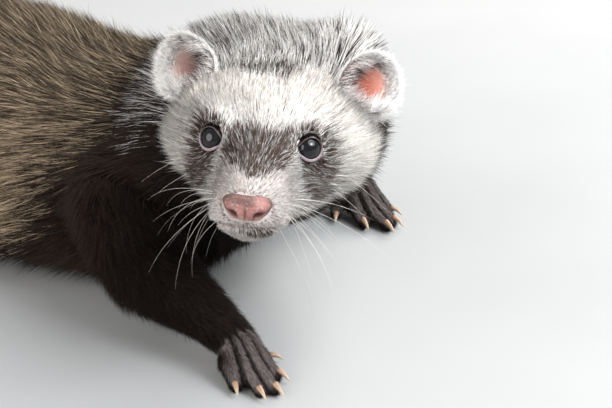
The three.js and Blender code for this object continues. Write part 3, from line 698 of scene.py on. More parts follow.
def coat_colours(points, normals, owner, rng, grain=0.5):
    """Root and tip colours of the hairs at these points; hairs within a grain mostly draw alike."""
    count = len(points)
    found = markings(points, owner, rng.normal(size=(count, 3)))
    forward, left, up, muzzle = (found[word] for word in ("forward", "left", "up", "muzzle"))

    def drawn(share):
        """1 for that share of the hairs, 0 for the rest."""
        alone = rng.random(count) < 0.25
        chance = np.where(alone, rng.random(count), shared_draws(points, grain, rng))
        return 1.0 * (chance < share)

    brown = 0.35 + 0.65 * step(points[:, 1], -128, -100) * step(points[:, 1], -70, -95)
    hair = ends(DARK_ROOT, mix(DARK_TIP, BROWN_TIP, brown * rng.random(count) ** 1.5))
    # Painted sheen: hairs along the tops of the toes, where the skin faces up, turn a light greyish brown,
    # partly their own tone; the grooves between the toes stay dark
    toe_top_sheen = found["paw"] * toe_ridge(points, owner) * step(normals[:, 2], 0.2, 0.7)
    toe_sheen_shares = np.stack([toe_top_sheen, toe_top_sheen * (0.3 + 0.7 * rng.random(count))])
    hair = mix(hair, ends(PAW_TONE_AND_SHEEN * 0.4, PAW_TONE_AND_SHEEN), toe_sheen_shares)
    behind_ears = step(normals[:, 2], 0.0, 0.85) * step(points[:, 1] + 3 * lumps(points, 9.0, 14), -106, -134)
    behind_ears = behind_ears * in_nodes(owner, "head", "neck") * step(points[:, 2], 40, 54)
    hair = mix(hair, ends(WHITE_ROOT * 0.5, WHITE_TIP), drawn(0.68 * behind_ears))
    guard = drawn(0.4 + 0.22 * step(normals[:, 2], 0.15, 0.6))
    flank = ends(mix(FLANK_ROOT, DARK_ROOT, 0.8 * guard), mix(FLANK_TIP, DARK_TIP, 0.9 * guard))
    hair = mix(hair, flank, drawn(found["flank"]))

    cream = step(abs(left), 15, 21) * 0.6 + 0.25 * step(up, 8, 16)
    white_root = mix(mix(WHITE_ROOT, CREAM_TIP * 0.6, cream), MUZZLE_PINK * 0.8, muzzle)
    white_tip = mix(WHITE_TIP, CREAM_TIP, cream * rng.random(count))
    white_tip = white_tip * (1 - 0.22 * muzzle * step(up, -8, -3))[:, None]
    towards_crown = step(forward, 13, 3) * step(up, 4, 14)
    stray = drawn((0.13 + 0.22 * towards_crown) * (1 - 0.6 * muzzle))
    white_root = mix(white_root, CROWN_ROOT, stray)
    white_tip = mix(white_tip, MASK_TIP * 1.6, stray * rng.random(count))
    face = drawn(found["face"])
    hair = mix(hair, ends(white_root, white_tip), face)

    crown = drawn(0.85 * found["crown"] * face)
    silver = drawn(0.2)
    hair = mix(hair, mix(CROWN_ROOT * 0.6, ends(WHITE_ROOT * 0.6, WHITE_TIP), silver), crown)
    mask = drawn(0.97 * found["mask"])
    pale = drawn(0.2 + 0.14 * step(left, 9, 13))
    hair = mix(hair, mix(ends(MASK_ROOT, MASK_TIP), ends(WHITE_ROOT * 0.4, WHITE_TIP * 0.72), pale), mask)
    uneven = 0.5 + shared_draws(points, grain, rng) + rng.normal(0, 0.12, count)
    shade = mix(1.0, np.clip(uneven, 0.45, 1.5), np.where(face + mask > 0, 0.52, 0.65))
    root, tip = hair * shade[:, None]
    return np.clip(root, 0, 1), np.clip(tip, 0, 0.95)


# Hair
def roots_on(surface, density, rng):
    """Random places on the surface, density hairs on each square millimetre of each triangle: the
    triangle of each, and a function that gives a value of the surface's points at each."""
    total = np.cumsum(surface.areas * density)
    count = int(total[-1])
    face = np.searchsorted(total, rng.random(count) * total[-1])
    a, b = rng.random((2, count))
    turned = a + b > 1
    a, b = np.where(turned, 1 - a, a), np.where(turned, 1 - b, b)
    shares = np.stack([1 - a - b, a, b], axis=1)

    def at_roots(values):
        corners = values[surface.triangles[face]]
        if corners.ndim == 3:
            return (corners * shares[..., None]).sum(1)
        return (corners * shares).sum(1)

    return face, at_roots


def varied(count, middle, spread, low, high, rng):
    """Random numbers round the middle, kept between low and high."""
    return np.clip(rng.normal(middle, spread, count), low, high)


def combed(places, normals, lie, length, rise, turn):
    """The roots and tips of hairs that leave the skin and lie down along it. rise is height over length."""
    way = unit(along_skin(lie, normals))
    way = way * np.cos(turn)[:, None] + np.cross(normals, way) * np.sin(turn)[:, None]
    slope = np.clip(rise, 0.02, 0.95)
    ahead = length * np.sqrt(1 - slope**2)
    tips = places + way * ahead[:, None] + normals * (length * slope)[:, None]
    return raised(places, FLOOR_ROOM), raised(tips, FLOOR_ROOM)


def clumped(roots, tips, size, pull, rng):
    """The tips of neighbouring hairs, drawn together into locks."""
    which = cell_of(roots, size, 0.25, rng)
    centre = np.stack([np.bincount(which, tips[:, axis]) for axis in range(3)], axis=1)
    centre = centre / np.bincount(which)[:, None]
    return mix(tips, centre[which], pull)


def add_hairs(name, slot, roots, tips, normals, width, colours, patch):
    """A piece of closed three-sided hairs, each ending in a point."""
    way = unit(tips - roots)
    side = unit(np.cross(normals, way)) * (width / 2)[:, None]
    over = np.cross(way, side) * HAIR_THICK
    points = raised(np.stack([roots + side, roots + over, roots - side, tips], axis=1), HAIR_LOWEST)
    faces = np.array([(0, 2, 1), (0, 1, 3), (1, 2, 3), (2, 0, 3)]) + 4 * np.arange(len(roots))[:, None, None]
    root, tip = colours
    corners = PATCH * np.array([(-0.5, -0.5), (0.0, -0.5), (0.5, -0.5), (0.0, 0.5)])
    add_piece(name, slot, points.reshape(-1, 3), faces.reshape(-1, 3), HAIR,
              colours=np.stack([root, root, root, tip], axis=1).reshape(-1, 3),
              patches=(patch[:, None] + corners).reshape(-1, 2))


# Materials
class Look:
    """A material of one Principled shader, with the nodes that feed it."""

    def __init__(self, name, roughness, shine, **sockets):
        self.material = bpy.data.materials.new(name)
        self.material.use_nodes = True
        self.nodes = self.material.node_tree.nodes
        self.link = self.material.node_tree.links.new
        self.inputs = self.nodes["Principled BSDF"].inputs
        for word, value in dict(Roughness=roughness, Specular_IOR_Level=shine, **sockets).items():
            self.inputs[word.replace("_", " ")].default_value = value

    def texture(self, kind, **sockets):
        """A texture over the object's own space. Its scale is in lumps a metre."""
        node = self.nodes.new(kind)
        for word, value in sockets.items():
            node.inputs[word].default_value = value
        self.link(self.nodes.new("ShaderNodeTexCoord").outputs["Object"], node.inputs["Vector"])
        return node.outputs[0]

    def noise(self, scale, detail=3.0):
        return self.texture("ShaderNodeTexNoise", Scale=scale, Detail=detail)

    def attribute(self, name, output="Color"):
        node = self.nodes.new("ShaderNodeAttribute")
        node.attribute_name = name
        return node.outputs[output]

    def span(self, source, low, high, to_low, to_high):
        """The source's values, with low and high taken to to_low and to_high."""
        node = self.nodes.new("ShaderNodeMapRange")
        for word, value in zip(("From Min", "From Max", "To Min", "To Max"), (low, high, to_low, to_high)):
            node.inputs[word].default_value = value
        self.link(source, node.inputs["Value"])
        return node.outputs["Result"]

    def mixed(self, kind, share, a, b):
        """A colour mix; share, a and b are outputs or plain values."""
        node = self.nodes.new("ShaderNodeMix")
        node.data_type = "RGBA"
        node.blend_type = kind
        for socket, value in ((node.inputs[0], share), (node.inputs[6], a), (node.inputs[7], b)):
            if hasattr(value, "is_linked"):
                self.link(value, socket)
            elif isinstance(value, float):
                socket.default_value = value
            else:
                socket.default_value = (*value, 1.0)
        return node.outputs[2]

    def bump(self, source, strength, distance):
        node = self.nodes.new("ShaderNodeBump")
        node.inputs["Strength"].default_value = strength
        node.inputs["Distance"].default_value = distance
        self.link(source, node.inputs["Height"])
        self.link(node.outputs["Normal"], self.inputs["Normal"])

    def painted(self, colour):
        """The material, with this colour as its base."""
        self.link(colour, self.inputs["Base Color"])
        return self.material


def hair_material(name, roughness, shine, streaks):
    """Coat: its own colours with fine light and dark streaks."""
    look = Look(name, roughness, shine)
    noise = look.noise(streaks)
    look.link(look.span(noise, 0.3, 0.7, roughness + 0.08, roughness - 0.08), look.inputs["Roughness"])
    light = look.span(noise, 0.3, 0.7, 0.82, 1.12)
    return look.painted(look.mixed("MULTIPLY", 1.0, look.attribute("coat"), light))


def skin_material():
    look = Look("skin_under_coat", 0.8, 0.2)
    fine = look.noise(2600.0, 4.0)
    look.bump(fine, 0.6, 0.0005)
    # The noise darkens the skin as well as bumping it: painted shade in the gaps between the hairs, with a
    # fine uneven grain
    return look.painted(look.mixed("MULTIPLY", 0.5, look.attribute("coat"), fine))


def eye_material():
    """A dark brown iris round a black pupil, under a clear wet cornea."""
    look = Look("eye_wet", 0.5, 0.0, Coat_Weight=1.0, Coat_Roughness=0.03, Coat_IOR=1.5)
    ramp = look.nodes.new("ShaderNodeValToRGB")
    stops = ramp.color_ramp.elements
    for place, _ in IRIS[1:-1]:
        stops.new(place)
    for stop, (_, colour) in zip(stops, IRIS):
        stop.color = (*colour, 1)
    look.link(look.attribute("turned", "Fac"), ramp.inputs["Fac"])
    return look.painted(look.mixed("SOFT_LIGHT", 0.5, ramp.outputs["Color"], look.noise(1800.0)))


def lid_material():
    look = Look("lid_skin", 0.4, 0.4)
    noise = look.noise(1500.0)
    look.bump(noise, 0.4, 0.0002)
    share = look.span(noise, 0.35, 0.65, 0.0, 0.6)
    return look.painted(look.mixed("MULTIPLY", share, look.attribute("coat"), (0.6, 0.5, 0.5)))


def nose_material():
    """Wet leather in the colours of its points, with fine cobbles."""
    look = Look("nose_leather", 0.55, 0.25)
    cobbles = look.span(look.texture("ShaderNodeTexVoronoi", Scale=2400.0), 0.0, 0.6, 1.0, 0.75)
    look.bump(cobbles, 0.5, 0.00012)
    return look.painted(look.mixed("MULTIPLY", 0.6, look.attribute("coat"), cobbles))


def ear_material():
    look = Look("ear_skin", 0.5, 0.3)
    veins = look.noise(700.0, 5.0)
    look.bump(veins, 0.3, 0.0003)
    share = look.span(veins, 0.4, 0.7, 0.0, 0.5)
    return look.painted(look.mixed("MULTIPLY", share, look.attribute("coat"), (0.8, 0.45, 0.4)))


def claw_material():
    """Ivory horn, pink towards the toe."""
    look = Look("claw_horn", 0.32, 0.5)
    noise = look.noise(900.0)
    look.bump(noise, 0.2, 0.0002)
    horn = look.mixed("MIX", look.attribute("outwards", "Fac"), (0.30, 0.15, 0.095), (0.50, 0.385, 0.27))
    share = look.span(noise, 0.3, 0.7, 0.0, 0.35)
    return look.painted(look.mixed("MULTIPLY", share, horn, (0.7, 0.6, 0.5)))


def floor_material():
    look = Look("pale_floor", 0.75, 0.2)
    share = look.span(look.noise(12.0), 0.3, 0.7, 0.0, 1.0)
    return look.painted(look.mixed("MIX", share, (0.40, 0.397, 0.39), (0.43, 0.426, 0.418)))


HAIR = hair_material("coat_hair", 0.6, 0.08, 900.0)
WHISKER = hair_material("whisker_hair", 0.35, 0.5, 400.0)
EYE = eye_material()
LID = lid_material()
EAR_SKIN = ear_material()
CLAW = claw_material()

# Skin
skin = make_skin()
skin_root, skin_tip = coat_colours(skin.points, skin.normals, skin.owner, np.random.default_rng(3))
skin_colour = smoothed(0.6 * skin_root + 0.4 * skin_tip, edges_of(skin.triangles), 2)
# Darker along the line of the mouth, which is pressed in as a crease: partly the lips' own skin, partly
# painted shade in the crease
lips = bell(mouth_gap(skin.points), 0.6) * in_nodes(skin.owner, *HEAD_NODES)
skin_colour = mix(skin_colour, MOUTH_LIP_AND_SHADE, lips)
add_piece("skin", "dark_fur", skin.points, skin.triangles, skin_material(), FLESH, colours=skin_colour)


# Coat
def skin_map(points, owner):
    """Where each point lies on an unwrap of the body, round and along it."""
    number = on_spine(points)
    along = SPINE_ALONG[number] / SPINE_ALONG[-1]
    way = SPINE_WAY[number]
    sideways = unit(np.cross(way, [0.0, 0.0, 1.0]))
    over = np.cross(sideways, way)
    offset = points - SPINE[number]
    turn = np.arctan2(dot(offset, over), dot(offset, sideways)) / (2 * math.pi) + 0.5
    forward, left, up = head_places(points)
    reach = np.maximum(np.linalg.norm(points - HEAD, axis=1), 1e-6)
    head_along = np.arccos(np.clip(forward / reach, -1, 1)) / math.pi
    head_turn = np.arctan2(left, up) / (2 * math.pi) + 0.5
    on_head = in_nodes(owner, *HEAD_NODES)[:, None]
    return np.where(on_head, np.stack([head_turn, head_along], 1), np.stack([turn, along], 1)) * 0.98 + 0.01


def grow_coat(name, slot, density, width, seed, grain, pull, lock):
    """One piece of coat, density hairs on each square millimetre of each triangle. Each lock of this
    size has its tips drawn together by the share pull."""
    rng = np.random.default_rng(seed)
    face, at_roots = roots_on(skin, density, rng)
    count = len(face)
    points = at_roots(skin.points)
    normals = unit(at_roots(skin.normals))
    length = at_roots(skin.length) * varied(count, 0.95, 0.16, 0.5, 1.35, rng)
    rise = np.clip(at_roots(skin.depth) / length, 0.1, 0.75) * varied(count, 0.85, 0.2, 0.4, 1.3, rng)
    rise = np.where(rng.random(count) < FLYAWAY, rise * 1.7, rise)
    turn = rng.normal(0, 0.16, count) + 0.22 * lumps(points, 7.0, 11)
    roots, tips = combed(points, normals, at_roots(skin.lie), length, rise, turn)
    tips = clumped(roots, tips, lock, pull, rng)
    owner = skin.owner[skin.triangles[face, 0]]
    colours = coat_colours(mix(roots, tips, MARKED_AT), normals, owner, rng, grain)
    wide = width * varied(count, 1, 0.2, 0.6, 1.5, rng)
    add_hairs(name, slot, roots, tips, normals, wide, colours, skin_map(points, owner))


face_owner = skin.owner[skin.triangles[:, 0]]
face_centre = skin.of_faces(skin.points)
face_normal = unit(skin.of_faces(skin.normals))
face_forward, _, face_up = head_places(face_centre)


def on(*names):
    return in_nodes(face_owner, *names)


clear_of_eyes = near_eye(face_centre) > 3.35 - 0.7 * step(face_up, 6.5, 8.0)
hair_room = clear_of_eyes & (mouth_gap(face_centre) > 0.3) & (nose_gap(face_centre) > 1)
head_skin = on(*HEAD_NODES)
muzzle = head_skin & (face_forward > 21)
brow = head_skin & (face_forward <= 21) & (face_forward > 6)
behind_brow = head_skin & (face_forward <= 6)
brush = 1 + 4 * step(face_centre[:, 1], 163, 176)  # thicker towards the tip of the tail
paw_tops = on(*PAWS) & (face_normal[:, 2] > -0.4)

COAT_PIECES = [  # name, slot, hairs on a square millimetre, width, seed, grain, pull and size of the locks
    ("coat_muzzle", "face_fur", 22.0 * (muzzle & hair_room), 0.19, 21, 0.35, 0.35, 0.7),
    ("coat_face", "face_fur", 15.0 * (brow & hair_room), 0.22, 22, 0.45, 0.45, 0.9),
    ("coat_crown", "face_fur", 9.0 * (behind_brow & (face_up > 4)), 0.30, 23, 0.8, 0.55, 1.1),
    ("coat_cheeks", "face_fur", 9.0 * (behind_brow & (face_up <= 4)), 0.28, 33, 0.7, 0.55, 1.4),
    ("coat_neck", "dark_fur", 6.4 * on("neck"), 0.29, 24, 0.8, 0.45, 1.6),
    ("coat_chest", "dark_fur", 4.4 * on("chest"), 0.30, 25, 0.9, 0.3, 2.2),
    ("coat_belly", "flank_fur", 3.5 * on("belly"), 0.33, 26, 0.9, 0.3, 2.2),
    ("coat_hips", "flank_fur", 3.8 * on("hips"), 0.33, 27, 0.9, 0.3, 2.2),
    ("coat_tail", "dark_fur", 5.6 * brush * on("tail_root", "tail_tip"), 0.3, 28, 0.9, 0.3, 2.2),
    ("coat_forelegs", "dark_fur", 8.0 * on("upper_arm", "forearm"), 0.23, 29, 0.7, 0.25, 2.2),
    ("coat_hindlegs", "dark_fur", 4.6 * on("thigh", "shin"), 0.28, 30, 0.9, 0.3, 2.2),
    ("coat_paws", "dark_fur", 8.0 * paw_tops, 0.18, 31, 0.4, 0.1, 0.8),
]
for row in COAT_PIECES:
    grow_coat(*row)


# Eyes
def make_eye(side):
    """A ball with a fuller cornea."""
    points, faces = ball_mesh(64, 48)
    polar = np.arccos(np.clip(points[:, 2], -1, 1))
    radius = EYE_RADIUS - 0.05 + CORNEA_RISE * step(polar, 0.95, 0.2)
    placed = EYES[side] + (points * radius[:, None]) @ frame_round(eye_gaze(side), UPWARD).T
    add_piece(f"eyeball_{side}", "eye", placed, faces, EYE, [f"{side}_eye"],
              values={"turned": polar / IRIS_EDGE})


def make_lids(side):
    """A wet rim round the eye's opening, pointed a little towards the nose."""
    axes = frame_round(eye_gaze(side), UPWARD)
    inner = -SIDES[side] * np.sign(dot(axes[:, 0], LEFT))
    turn = 2 * math.pi * np.arange(LID_AROUND)[:, None] / LID_AROUND
    bend = 2 * math.pi * np.arange(LID_ACROSS) / LID_ACROSS
    corner = np.maximum(0, np.cos(turn) * inner) ** 6
    x = (LID_WIDE + 0.9 * corner) * np.cos(turn)
    y = LID_TALL * np.sin(turn) * (1 - 0.12 * corner) - 0.35 * corner
    away = LID_RIM * (0.5 + 0.5 * np.cos(bend)) * (0.95 - 0.5 * np.sin(turn))
    lift = LID_RIM * 0.5 * np.sin(bend) - 0.28 * away
    rest = np.sqrt(np.maximum((EYE_RADIUS + 0.28) ** 2 - x**2 - y**2, 0.5))
    wider = 1 + away / np.hypot(x, y)
    points = np.stack([x * wider, y * wider, rest + lift - 0.1], axis=-1).reshape(-1, 3)
    number = np.arange(len(points)).reshape(LID_AROUND, LID_ACROSS)
    beside = np.roll(number, -1, axis=1)
    faces = np.stack([number, beside, np.roll(beside, -1, axis=0), np.roll(number, -1, axis=0)], axis=-1)
    colours = mix(LID_LOW, LID_HIGH, step(np.repeat(np.sin(turn), LID_ACROSS), -0.4, 0.5))
    placed = EYES[side] + points @ axes.T
    add_piece(f"lids_{side}", "nose", placed, faces.reshape(-1, 4), LID, colours=colours)


# Nose
def make_nose():
    """A pad, wide and flat at its top, with comma nostrils and a groove down its middle."""
    points, faces = ball_mesh(96, 72)
    axes = frame_round(FORWARD, UPWARD)
    side_sign = np.sign(dot(axes[:, 0], LEFT))
    x, y, z = points[:, 0] * side_sign, points[:, 1], points[:, 2]
    power = np.where(y > 0, 3.2, 2.2)
    reach = np.hypot(x, y)
    corners = reach / np.maximum((abs(x) ** power + abs(y) ** power) ** (1 / power), 1e-6)
    square = mix(1.0, corners, reach)
    left = x * square * (1 + 0.24 * y) * NOSE_RADII[1] * 0.97
    up = y * square * NOSE_RADII[2] * 0.92
    pit = np.zeros(len(points))
    for sign in SIDES.values():
        for across, high, size, deep in NOSTRIL:
            pit = np.maximum(pit, deep * bell(np.hypot(left - sign * across, up - high), size))
    groove = 0.5 * bell(left, 0.3) * step(up, 1.2, -0.8)
    wing = 0.45 * bell(abs(left) - 3.9, 1.3) * bell(up - 1.1, 1.0)
    wing = wing + 0.5 * bell(abs(left) - 3.0, 1.1) * bell(up + 2.1, 0.7)
    front = z > 0
    press = np.where(front, pit + groove - wing, 0)
    local = np.stack([left * side_sign, up, z * NOSE_RADII[0]], 1)
    local = local - points * press[:, None] * np.array([0.25, 0.35, 1.0])
    placed = in_head(*NOSE_PLACE) + local @ axes.T
    colour = mix(NOSE_PINK, NOSE_PALE, step(lumps(placed, 2.2, 4), -0.6, 0.8))
    ragged = 0.35 * lumps(placed, 0.7, 9)
    smudge = tapered(left + ragged, up - ragged, *SMUDGE, 1.2)
    smudge = np.maximum(smudge, 0.6 * tapered(left, up, *SMUDGE_TAIL, 0.3))
    colour = mix(colour, NOSE_SMUDGE, 0.8 * smudge)
    # Painted highlight: pale spots over the pad stand for wet glints, fewer on the smudge
    painted_glints = step(lumps(placed, 0.45, 15), 0.3, 1.2)
    colour = mix(colour, WHITE_TIP * 0.8, 0.35 * painted_glints * (1 - 0.6 * smudge))
    rim = step(reach, 0.84, 0.99)
    colour = mix(colour, NOSE_SMUDGE * 0.6, 0.7 * rim * step(abs(x), 0.3, 0.8))
    # Darker with the depth of the nostrils and along the groove: partly their own dark skin, partly painted
    # shade in these hollows
    colour = mix(colour, NOSE_PIT_SKIN_AND_SHADE, np.where(front, np.clip(pit * 1.2 + groove * 0.8, 0, 1), 0))
    add_piece("nose_pad", "nose", placed, faces, nose_material(), ["nose"], colours=colour)


# Ears: a cupped shell with a rolled rim, furred outside and along the rim
def ear_axes(side):
    """Across the ear, up along it, and the way that its cup faces."""
    way = head_way(0.82, SIDES[side] * 0.5, 0.22)
    across = unit(np.cross(head_way(-0.1, SIDES[side] * 0.42, 1), way))
    return across, np.cross(way, across), way


def make_ear(side):
    across, upward, way = ear_axes(side)
    centre = in_head(EAR_PLACE[0], SIDES[side] * EAR_PLACE[1], EAR_PLACE[2])
    inner = -np.sign(dot(across, LEFT)) * SIDES[side]  # the sign of x towards the crown
    turn = 2 * math.pi * np.arange(EAR_AROUND) / EAR_AROUND
    from_top = degrees_from_top(np.cos(turn) * inner, np.sin(turn))
    lobe = 1 + 0.8 * np.maximum(0, -np.sin(turn))
    front_shares = np.sin(np.linspace(0, math.pi / 2, EAR_ROWS + 1))[1:]
    rings = []
    for row, share in enumerate([*front_shares, *front_shares[-2::-1]]):
        sunk = step(from_top, 18, 66) * step(from_top, 235, 200) * share**2  # the edge in front lies back
        wide = EAR_WIDE * share * np.cos(turn) * (1 - 0.2 * sunk)
        tall = EAR_TALL * share * np.sin(turn) * (1 - 0.12 * sunk)
        thick = EAR_THICK * lobe * math.sqrt(max(1 - share**6, 0))
        cup = -EAR_CUP * (1 - share**2.2)
        fold = 0.9 * bell(share - 0.62, 0.12) * bell(np.cos(turn) * inner - 0.2, 0.5)
        depth = (cup + 0.2 * share + fold if row < EAR_ROWS else cup - thick) - 4.0 * sunk
        rings.append(centre + np.outer(wide, across) + np.outer(tall, upward) + np.outer(depth, way))
    points = np.vstack([centre - EAR_CUP * way, *rings, centre - (EAR_CUP + EAR_THICK) * way])
    faces = ring_faces(EAR_AROUND, len(rings))
    normals = normals_of(points, faces)

    x, y = (points - centre) @ across / EAR_WIDE, (points - centre) @ upward / EAR_TALL
    out = np.hypot(x, y)
    facing = dot(normals, way)
    turned = degrees_from_top(x * inner, y)
    bare = ear_bare(x * inner, y) * step(facing, -0.1, 0.2)
    front_edge = step(turned, 50, 75) * step(turned, 225, 205) * step(out, 0.4, 0.7)
    # The pink inside, deeper towards the middle, carries its side's painted light: a glow through the left
    # ear, shade over the right
    deep = mix(EAR_DEEP_GLOW_AND_SHADE[side], EAR_PALE_GLOW_AND_SHADE[side], step(out, 0.2, 0.75))
    colour = mix(mix(WHITE_TIP * 0.9, deep, bare), MASK_TIP, front_edge)
    add_piece(f"ear_shell_{side}", "ear", points, faces, EAR_SKIN, [f"{side}_ear"], colours=colour)
    lie = unit(np.outer(x, across) + np.outer(y + 0.3, upward))
    ear = Surface(points, faces, normals, lie)
    ear_fur(side, ear, inner, *(ear.of_faces(value) for value in (x, y, out, facing, turned)))


def degrees_from_top(inward, y):
    """How far round an ear a place lies, from the top by way of the edge next to the crown."""
    return np.degrees(np.arctan2(inward, y)) % 360


def ear_bare(inward, y):
    """1 on the bare pink inside of an ear, 0 where velvet covers it. inward is 1 at the edge next to
    the crown."""
    return step(np.hypot((inward - 0.04) / 0.77, (y + 0.12) / 0.84), 1.15, 0.88)


def ear_fur(side, ear, inner, x, y, out, facing, turned):
    """White velvet over the back and the rim, and a fringe of dark and white hairs from the inner and
    lower edge. x, y, out, facing and turned say where each triangle of the ear lies."""
    across, upward, way = ear_axes(side)
    rng = np.random.default_rng(40 + SIDES[side])
    front = facing > 0.1
    at_fringe = front & (turned > 34) & (turned < 212)

    def fur(name, density, lie, length, width, rise, colours):
        face, at_roots = roots_on(ear, density, rng)
        count = len(face)
        normals = unit(at_roots(ear.normals))
        along = at_roots(np.broadcast_to(lie, ear.points.shape))
        long = np.broadcast_to(length, front.shape)[face] * varied(count, 1, 0.22, 0.45, 1.5, rng)
        turn = rng.normal(0, 0.28, count)
        roots, tips = combed(at_roots(ear.points), normals, along, long, np.full(count, rise), turn)
        shades = colours(face)
        patch = np.stack([x[face], y[face]], 1) * 0.24 + np.where(facing[face] > 0, 0.25, 0.75)[:, None]
        wide = width * varied(count, 1, 0.2, 0.6, 1.4, rng)
        add_hairs(name, "face_fur", roots, tips, normals, wide, shades, patch)

    def white(face):
        shade = varied((len(face), 1), 1, 0.08, 0.75, 1.1, rng)
        # Velvet near the middle of the cup takes the pale inside colour, so it carries painted glow on the
        # left ear and painted shade on the right
        rosy = 0.6 * step(out[face], 0.9, 0.6) * (facing[face] > 0.1)
        root = mix(WHITE_TIP * 0.88, EAR_PALE_GLOW_AND_SHADE[side], rosy)
        tip = mix(WHITE_TIP, mix(WHITE_TIP, EAR_PALE_GLOW_AND_SHADE[side], 0.5), rosy)
        return root * shade, np.minimum(tip * shade, 0.97)

    def dark(face):
        pale = 1.0 * (rng.random(len(face)) < 0.3)
        return ends(MASK_ROOT, mix(MASK_TIP, WHITE_TIP * 0.7, pale))

    velvet = np.where(front, 27.0 * (1 - ear_bare(x * inner, y)), 17.0) * ~at_fringe
    long = np.where(front, 1.0 + 1.9 * step(out, 0.65, 0.95), 2.5) + 1.6 * step(y, 0.1, -0.8)
    long = long * (1 - 0.5 * step(turned, 5, 45) * (turned < 180))
    fur(f"coat_ear_{side}", velvet, ear.lie, long, 0.15, 0.36, white)
    slant = unit(-inner * across + 0.45 * upward + 0.4 * way)
    low = front & (y < -0.35) & (x * inner > -0.2)
    inside = at_fringe & (out > 0.52) | low & (out > 0.6)
    fur(f"coat_ear_dark_{side}", 9.0 * inside, slant, 5.2, 0.17, 0.45, dark)
    fur(f"coat_ear_fringe_{side}", 20.0 * (at_fringe & (out > 0.75)), slant, 4.6, 0.17, 0.6, white)
    upwards = unit(upward - 0.35 * inner * across + 0.35 * way)
    fur(f"coat_ear_skirt_{side}", 22.0 * (front & (y < -0.5) & (out > 0.7)), upwards, 5.0, 0.18, 0.5, white)


# Claws
def make_claws(paw):
    """One smooth curved horn from each of the five solids of a paw."""
    parts = []
    for number in range(1, 6):
        base, tip = claw_ends(paw, number)
        end = base + CLAW_SHOWN * (tip - base)
        middle = (base + end) / 2
        inward = base - 0.8 * unit(tip - base)
        lifts = np.outer([0, 0.2, 0.55, 0.1], [0, 0, 1])
        line = catmull(np.stack([inward, base, middle, end]) + lifts, 5)
        share = np.linspace(0, 1, len(line))
        radii = CLAW_RADIUS * (1 - share**2.5) ** 0.75 * (1 - 0.3 * share) + 0.04
        points, faces = tube(line, radii, CLAW_AROUND, 0.85)
        outwards = np.concatenate([[0], np.repeat(share, CLAW_AROUND), [1]])
        parts.append((raised(points, SKIN_LOWEST), faces, outwards))
    points, faces, outwards = joined(parts)
    solids = [f"{paw}_claw_{number}" for number in range(1, 6)]
    add_piece(f"claws_{paw}", "claw", points, faces, CLAW, solids, values={"outwards": outwards})


# Whiskers: rows on the lips, a few over the eyes and on the cheeks
def whisker(start, out, length, droop, radius, tone):
    """One hair that leaves the skin along out, then hangs down and back."""
    share = np.linspace(0, 1, 11)[:, None]
    line = start - 0.5 * out + out * length * (share - 0.45 * droop * share**2)
    line = line - length * droop * share**2 * np.array([0.0, 0.0, 0.62]) - 0.16 * length * share**2 * FORWARD
    radii = radius * (1 - share[:, 0]) ** 0.8 + 0.008
    points, faces = tube(raised(line, 1.0), radii, 4, up_hint=FORWARD)
    return points, faces, np.tile(tone, (len(points), 1))


def make_whiskers():
    ROWS, COLUMNS = 4, 4
    SINGLE = [(17, 11.5, 12.5, 17), (16, 13, 12.5, 13), (8, 21, -2, 16), (12, 19, -5, 13)]
    rng = np.random.default_rng(50)
    tree = BVHTree.FromPolygons(skin.points.tolist(), skin.triangles.tolist())
    parts = []
    for sign in SIDES.values():
        for row in range(ROWS):
            for column in range(COLUMNS):
                root = in_head(33 - 2.3 * column, sign * (6 + 1.1 * column), -5 - 1.5 * row + 0.3 * column)
                start = np.array(tree.find_nearest(root + rng.normal(0, 0.35, 3))[0])
                aside = 0.95 - 0.13 * row + rng.normal(0, 0.08)
                out = head_way(-0.25 + 0.14 * row + rng.normal(0, 0.1), sign * aside, 0.05 - 0.3 * row)
                length = rng.uniform(14, 30) * (0.75 + 0.14 * column)
                tone = WHISKER_TONE * rng.choice([1.0, 0.9, 0.45], p=[0.55, 0.25, 0.2])
                parts.append(whisker(start, out, length, rng.uniform(0.35, 1.0), 0.033, tone))
        for forward, left, up, length in SINGLE:
            start, _, face, _ = tree.find_nearest(in_head(forward, sign * left, up))
            out = unit(face_normal[face] + head_way(-0.3, sign * 0.5, 0.4 if up > 0 else -0.4))
            parts.append(whisker(np.array(start), out, length, 0.25, 0.04, WHISKER_TONE))
    points, faces, colours = joined(parts)
    add_piece("whiskers", "face_fur", points, faces, WHISKER, colours=colours)


# Floor, lights and camera
def make_floor():
    """A flat floor that bends up into a wall far behind the model."""
    back = way_at(CAMERA_AZIMUTH, 0.0)
    right = np.cross([0.0, 0.0, 1.0], back)
    bends = [(-FLOOR_BACK - FLOOR_BEND * math.sin(a), FLOOR_BEND * (1 - math.cos(a)))
             for a in np.linspace(0, math.pi / 2, 16)]
    profile = [(FLOOR_SPAN * 0.5, 0.0)] + bends + [(-FLOOR_BACK - FLOOR_BEND, WALL_RISE)]
    points = [back * along + np.array([0, 0, high]) + right * side
              for along, high in profile for side in (-FLOOR_SPAN, FLOOR_SPAN)]
    faces = [(2 * i, 2 * i + 1, 2 * i + 3, 2 * i + 2) for i in range(len(profile) - 1)]
    floor = make_object("studio_floor", points, faces, floor_material())


def camera_axes():
    """To the right, up and back of the camera."""
    back = way_at(CAMERA_AZIMUTH, CAMERA_ELEVATION)
    right = unit(np.cross([0.0, 0.0, 1.0], back))
    up = np.cross(back, right)
    turned_right = right * math.cos(CAMERA_ROLL) - up * math.sin(CAMERA_ROLL)
    turned_up = up * math.cos(CAMERA_ROLL) + right * math.sin(CAMERA_ROLL)
    return turned_right, turned_up, back


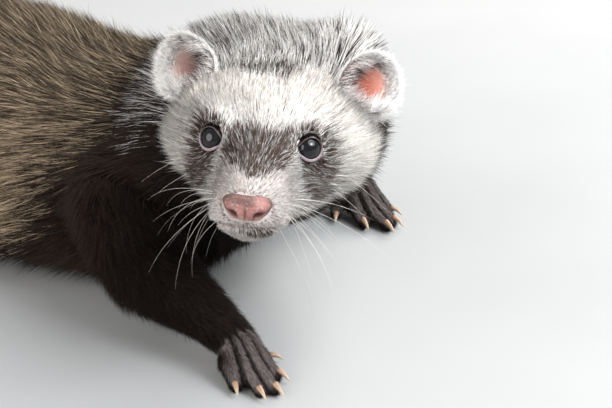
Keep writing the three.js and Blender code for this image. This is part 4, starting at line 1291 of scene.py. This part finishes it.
def make_camera():
    axes = camera_axes()
    data = bpy.data.cameras.new("photo_camera")
    data.sensor_width = SENSOR
    data.lens = CAMERA_LENS
    data.shift_x = (PHOTO_SIZE[0] / 2 - HEAD_AT[0]) / PHOTO_SIZE[0]
    data.shift_y = -(PHOTO_SIZE[1] / 2 - HEAD_AT[1]) / PHOTO_SIZE[0]
    data.clip_start, data.clip_end = 0.01, 50
    camera = add_object("photo_camera", data)
    turn = Matrix(np.stack(axes, axis=1).tolist()).to_4x4()
    camera.matrix_world = Matrix.Translation(Vector((HEAD + axes[2] * CAMERA_DISTANCE) * MM)) @ turn
    bpy.context.scene.camera = camera


def make_lights():
    """A large soft key up and to the camera's right with a smaller spark for the eyes beside it, a
    fill from the left, a rim light from behind, and a pale sky."""
    right, up, back = camera_axes()
    over = np.array([0.0, 0.0, 1.0])
    key = back * math.cos(KEY_TURN) + right * math.sin(KEY_TURN)
    key = key * math.cos(KEY_RISE) + up * math.sin(KEY_RISE)
    for name, offset, size, power, colour in (
        ("key", key * 900, 950, 9.2, (0.93, 0.97, 1.0)),
        ("spark", back * 720 + right * 620 + up * 480, 400, 6.8, (0.88, 0.94, 1.0)),
        ("fill", back * 600 - right * 800 + over * 100, 1000, 8.5, (1.0, 0.98, 0.96)),
        ("rim", over * 700 - back * 600 + right * 400, 500, 6, (1.0, 0.98, 0.95)),
    ):
        light = bpy.data.lights.new(name, "AREA")
        light.shape = "DISK"
        light.size = size * MM
        light.energy = power
        light.color = colour
        lamp = add_object(name, light)
        lamp.location = Vector(HEAD + offset) * MM
        lamp.rotation_euler = Vector(-offset).to_track_quat("-Z", "Y").to_euler()
    world = bpy.data.worlds.new("studio")
    world.use_nodes = True
    world.node_tree.nodes["Background"].inputs["Color"].default_value = (0.92, 0.95, 1.0, 1)
    world.node_tree.nodes["Background"].inputs["Strength"].default_value = 0.55
    bpy.context.scene.world = world


for side in SIDES:
    make_eye(side)
    make_lids(side)
make_nose()
for side in SIDES:
    make_ear(side)
for side in SIDES:
    for paw in PAWS:
        make_claws(f"{side}_{paw}")
make_whiskers()
make_floor()
make_camera()
make_lights()
bpy.context.scene.view_settings.view_transform = "Standard"
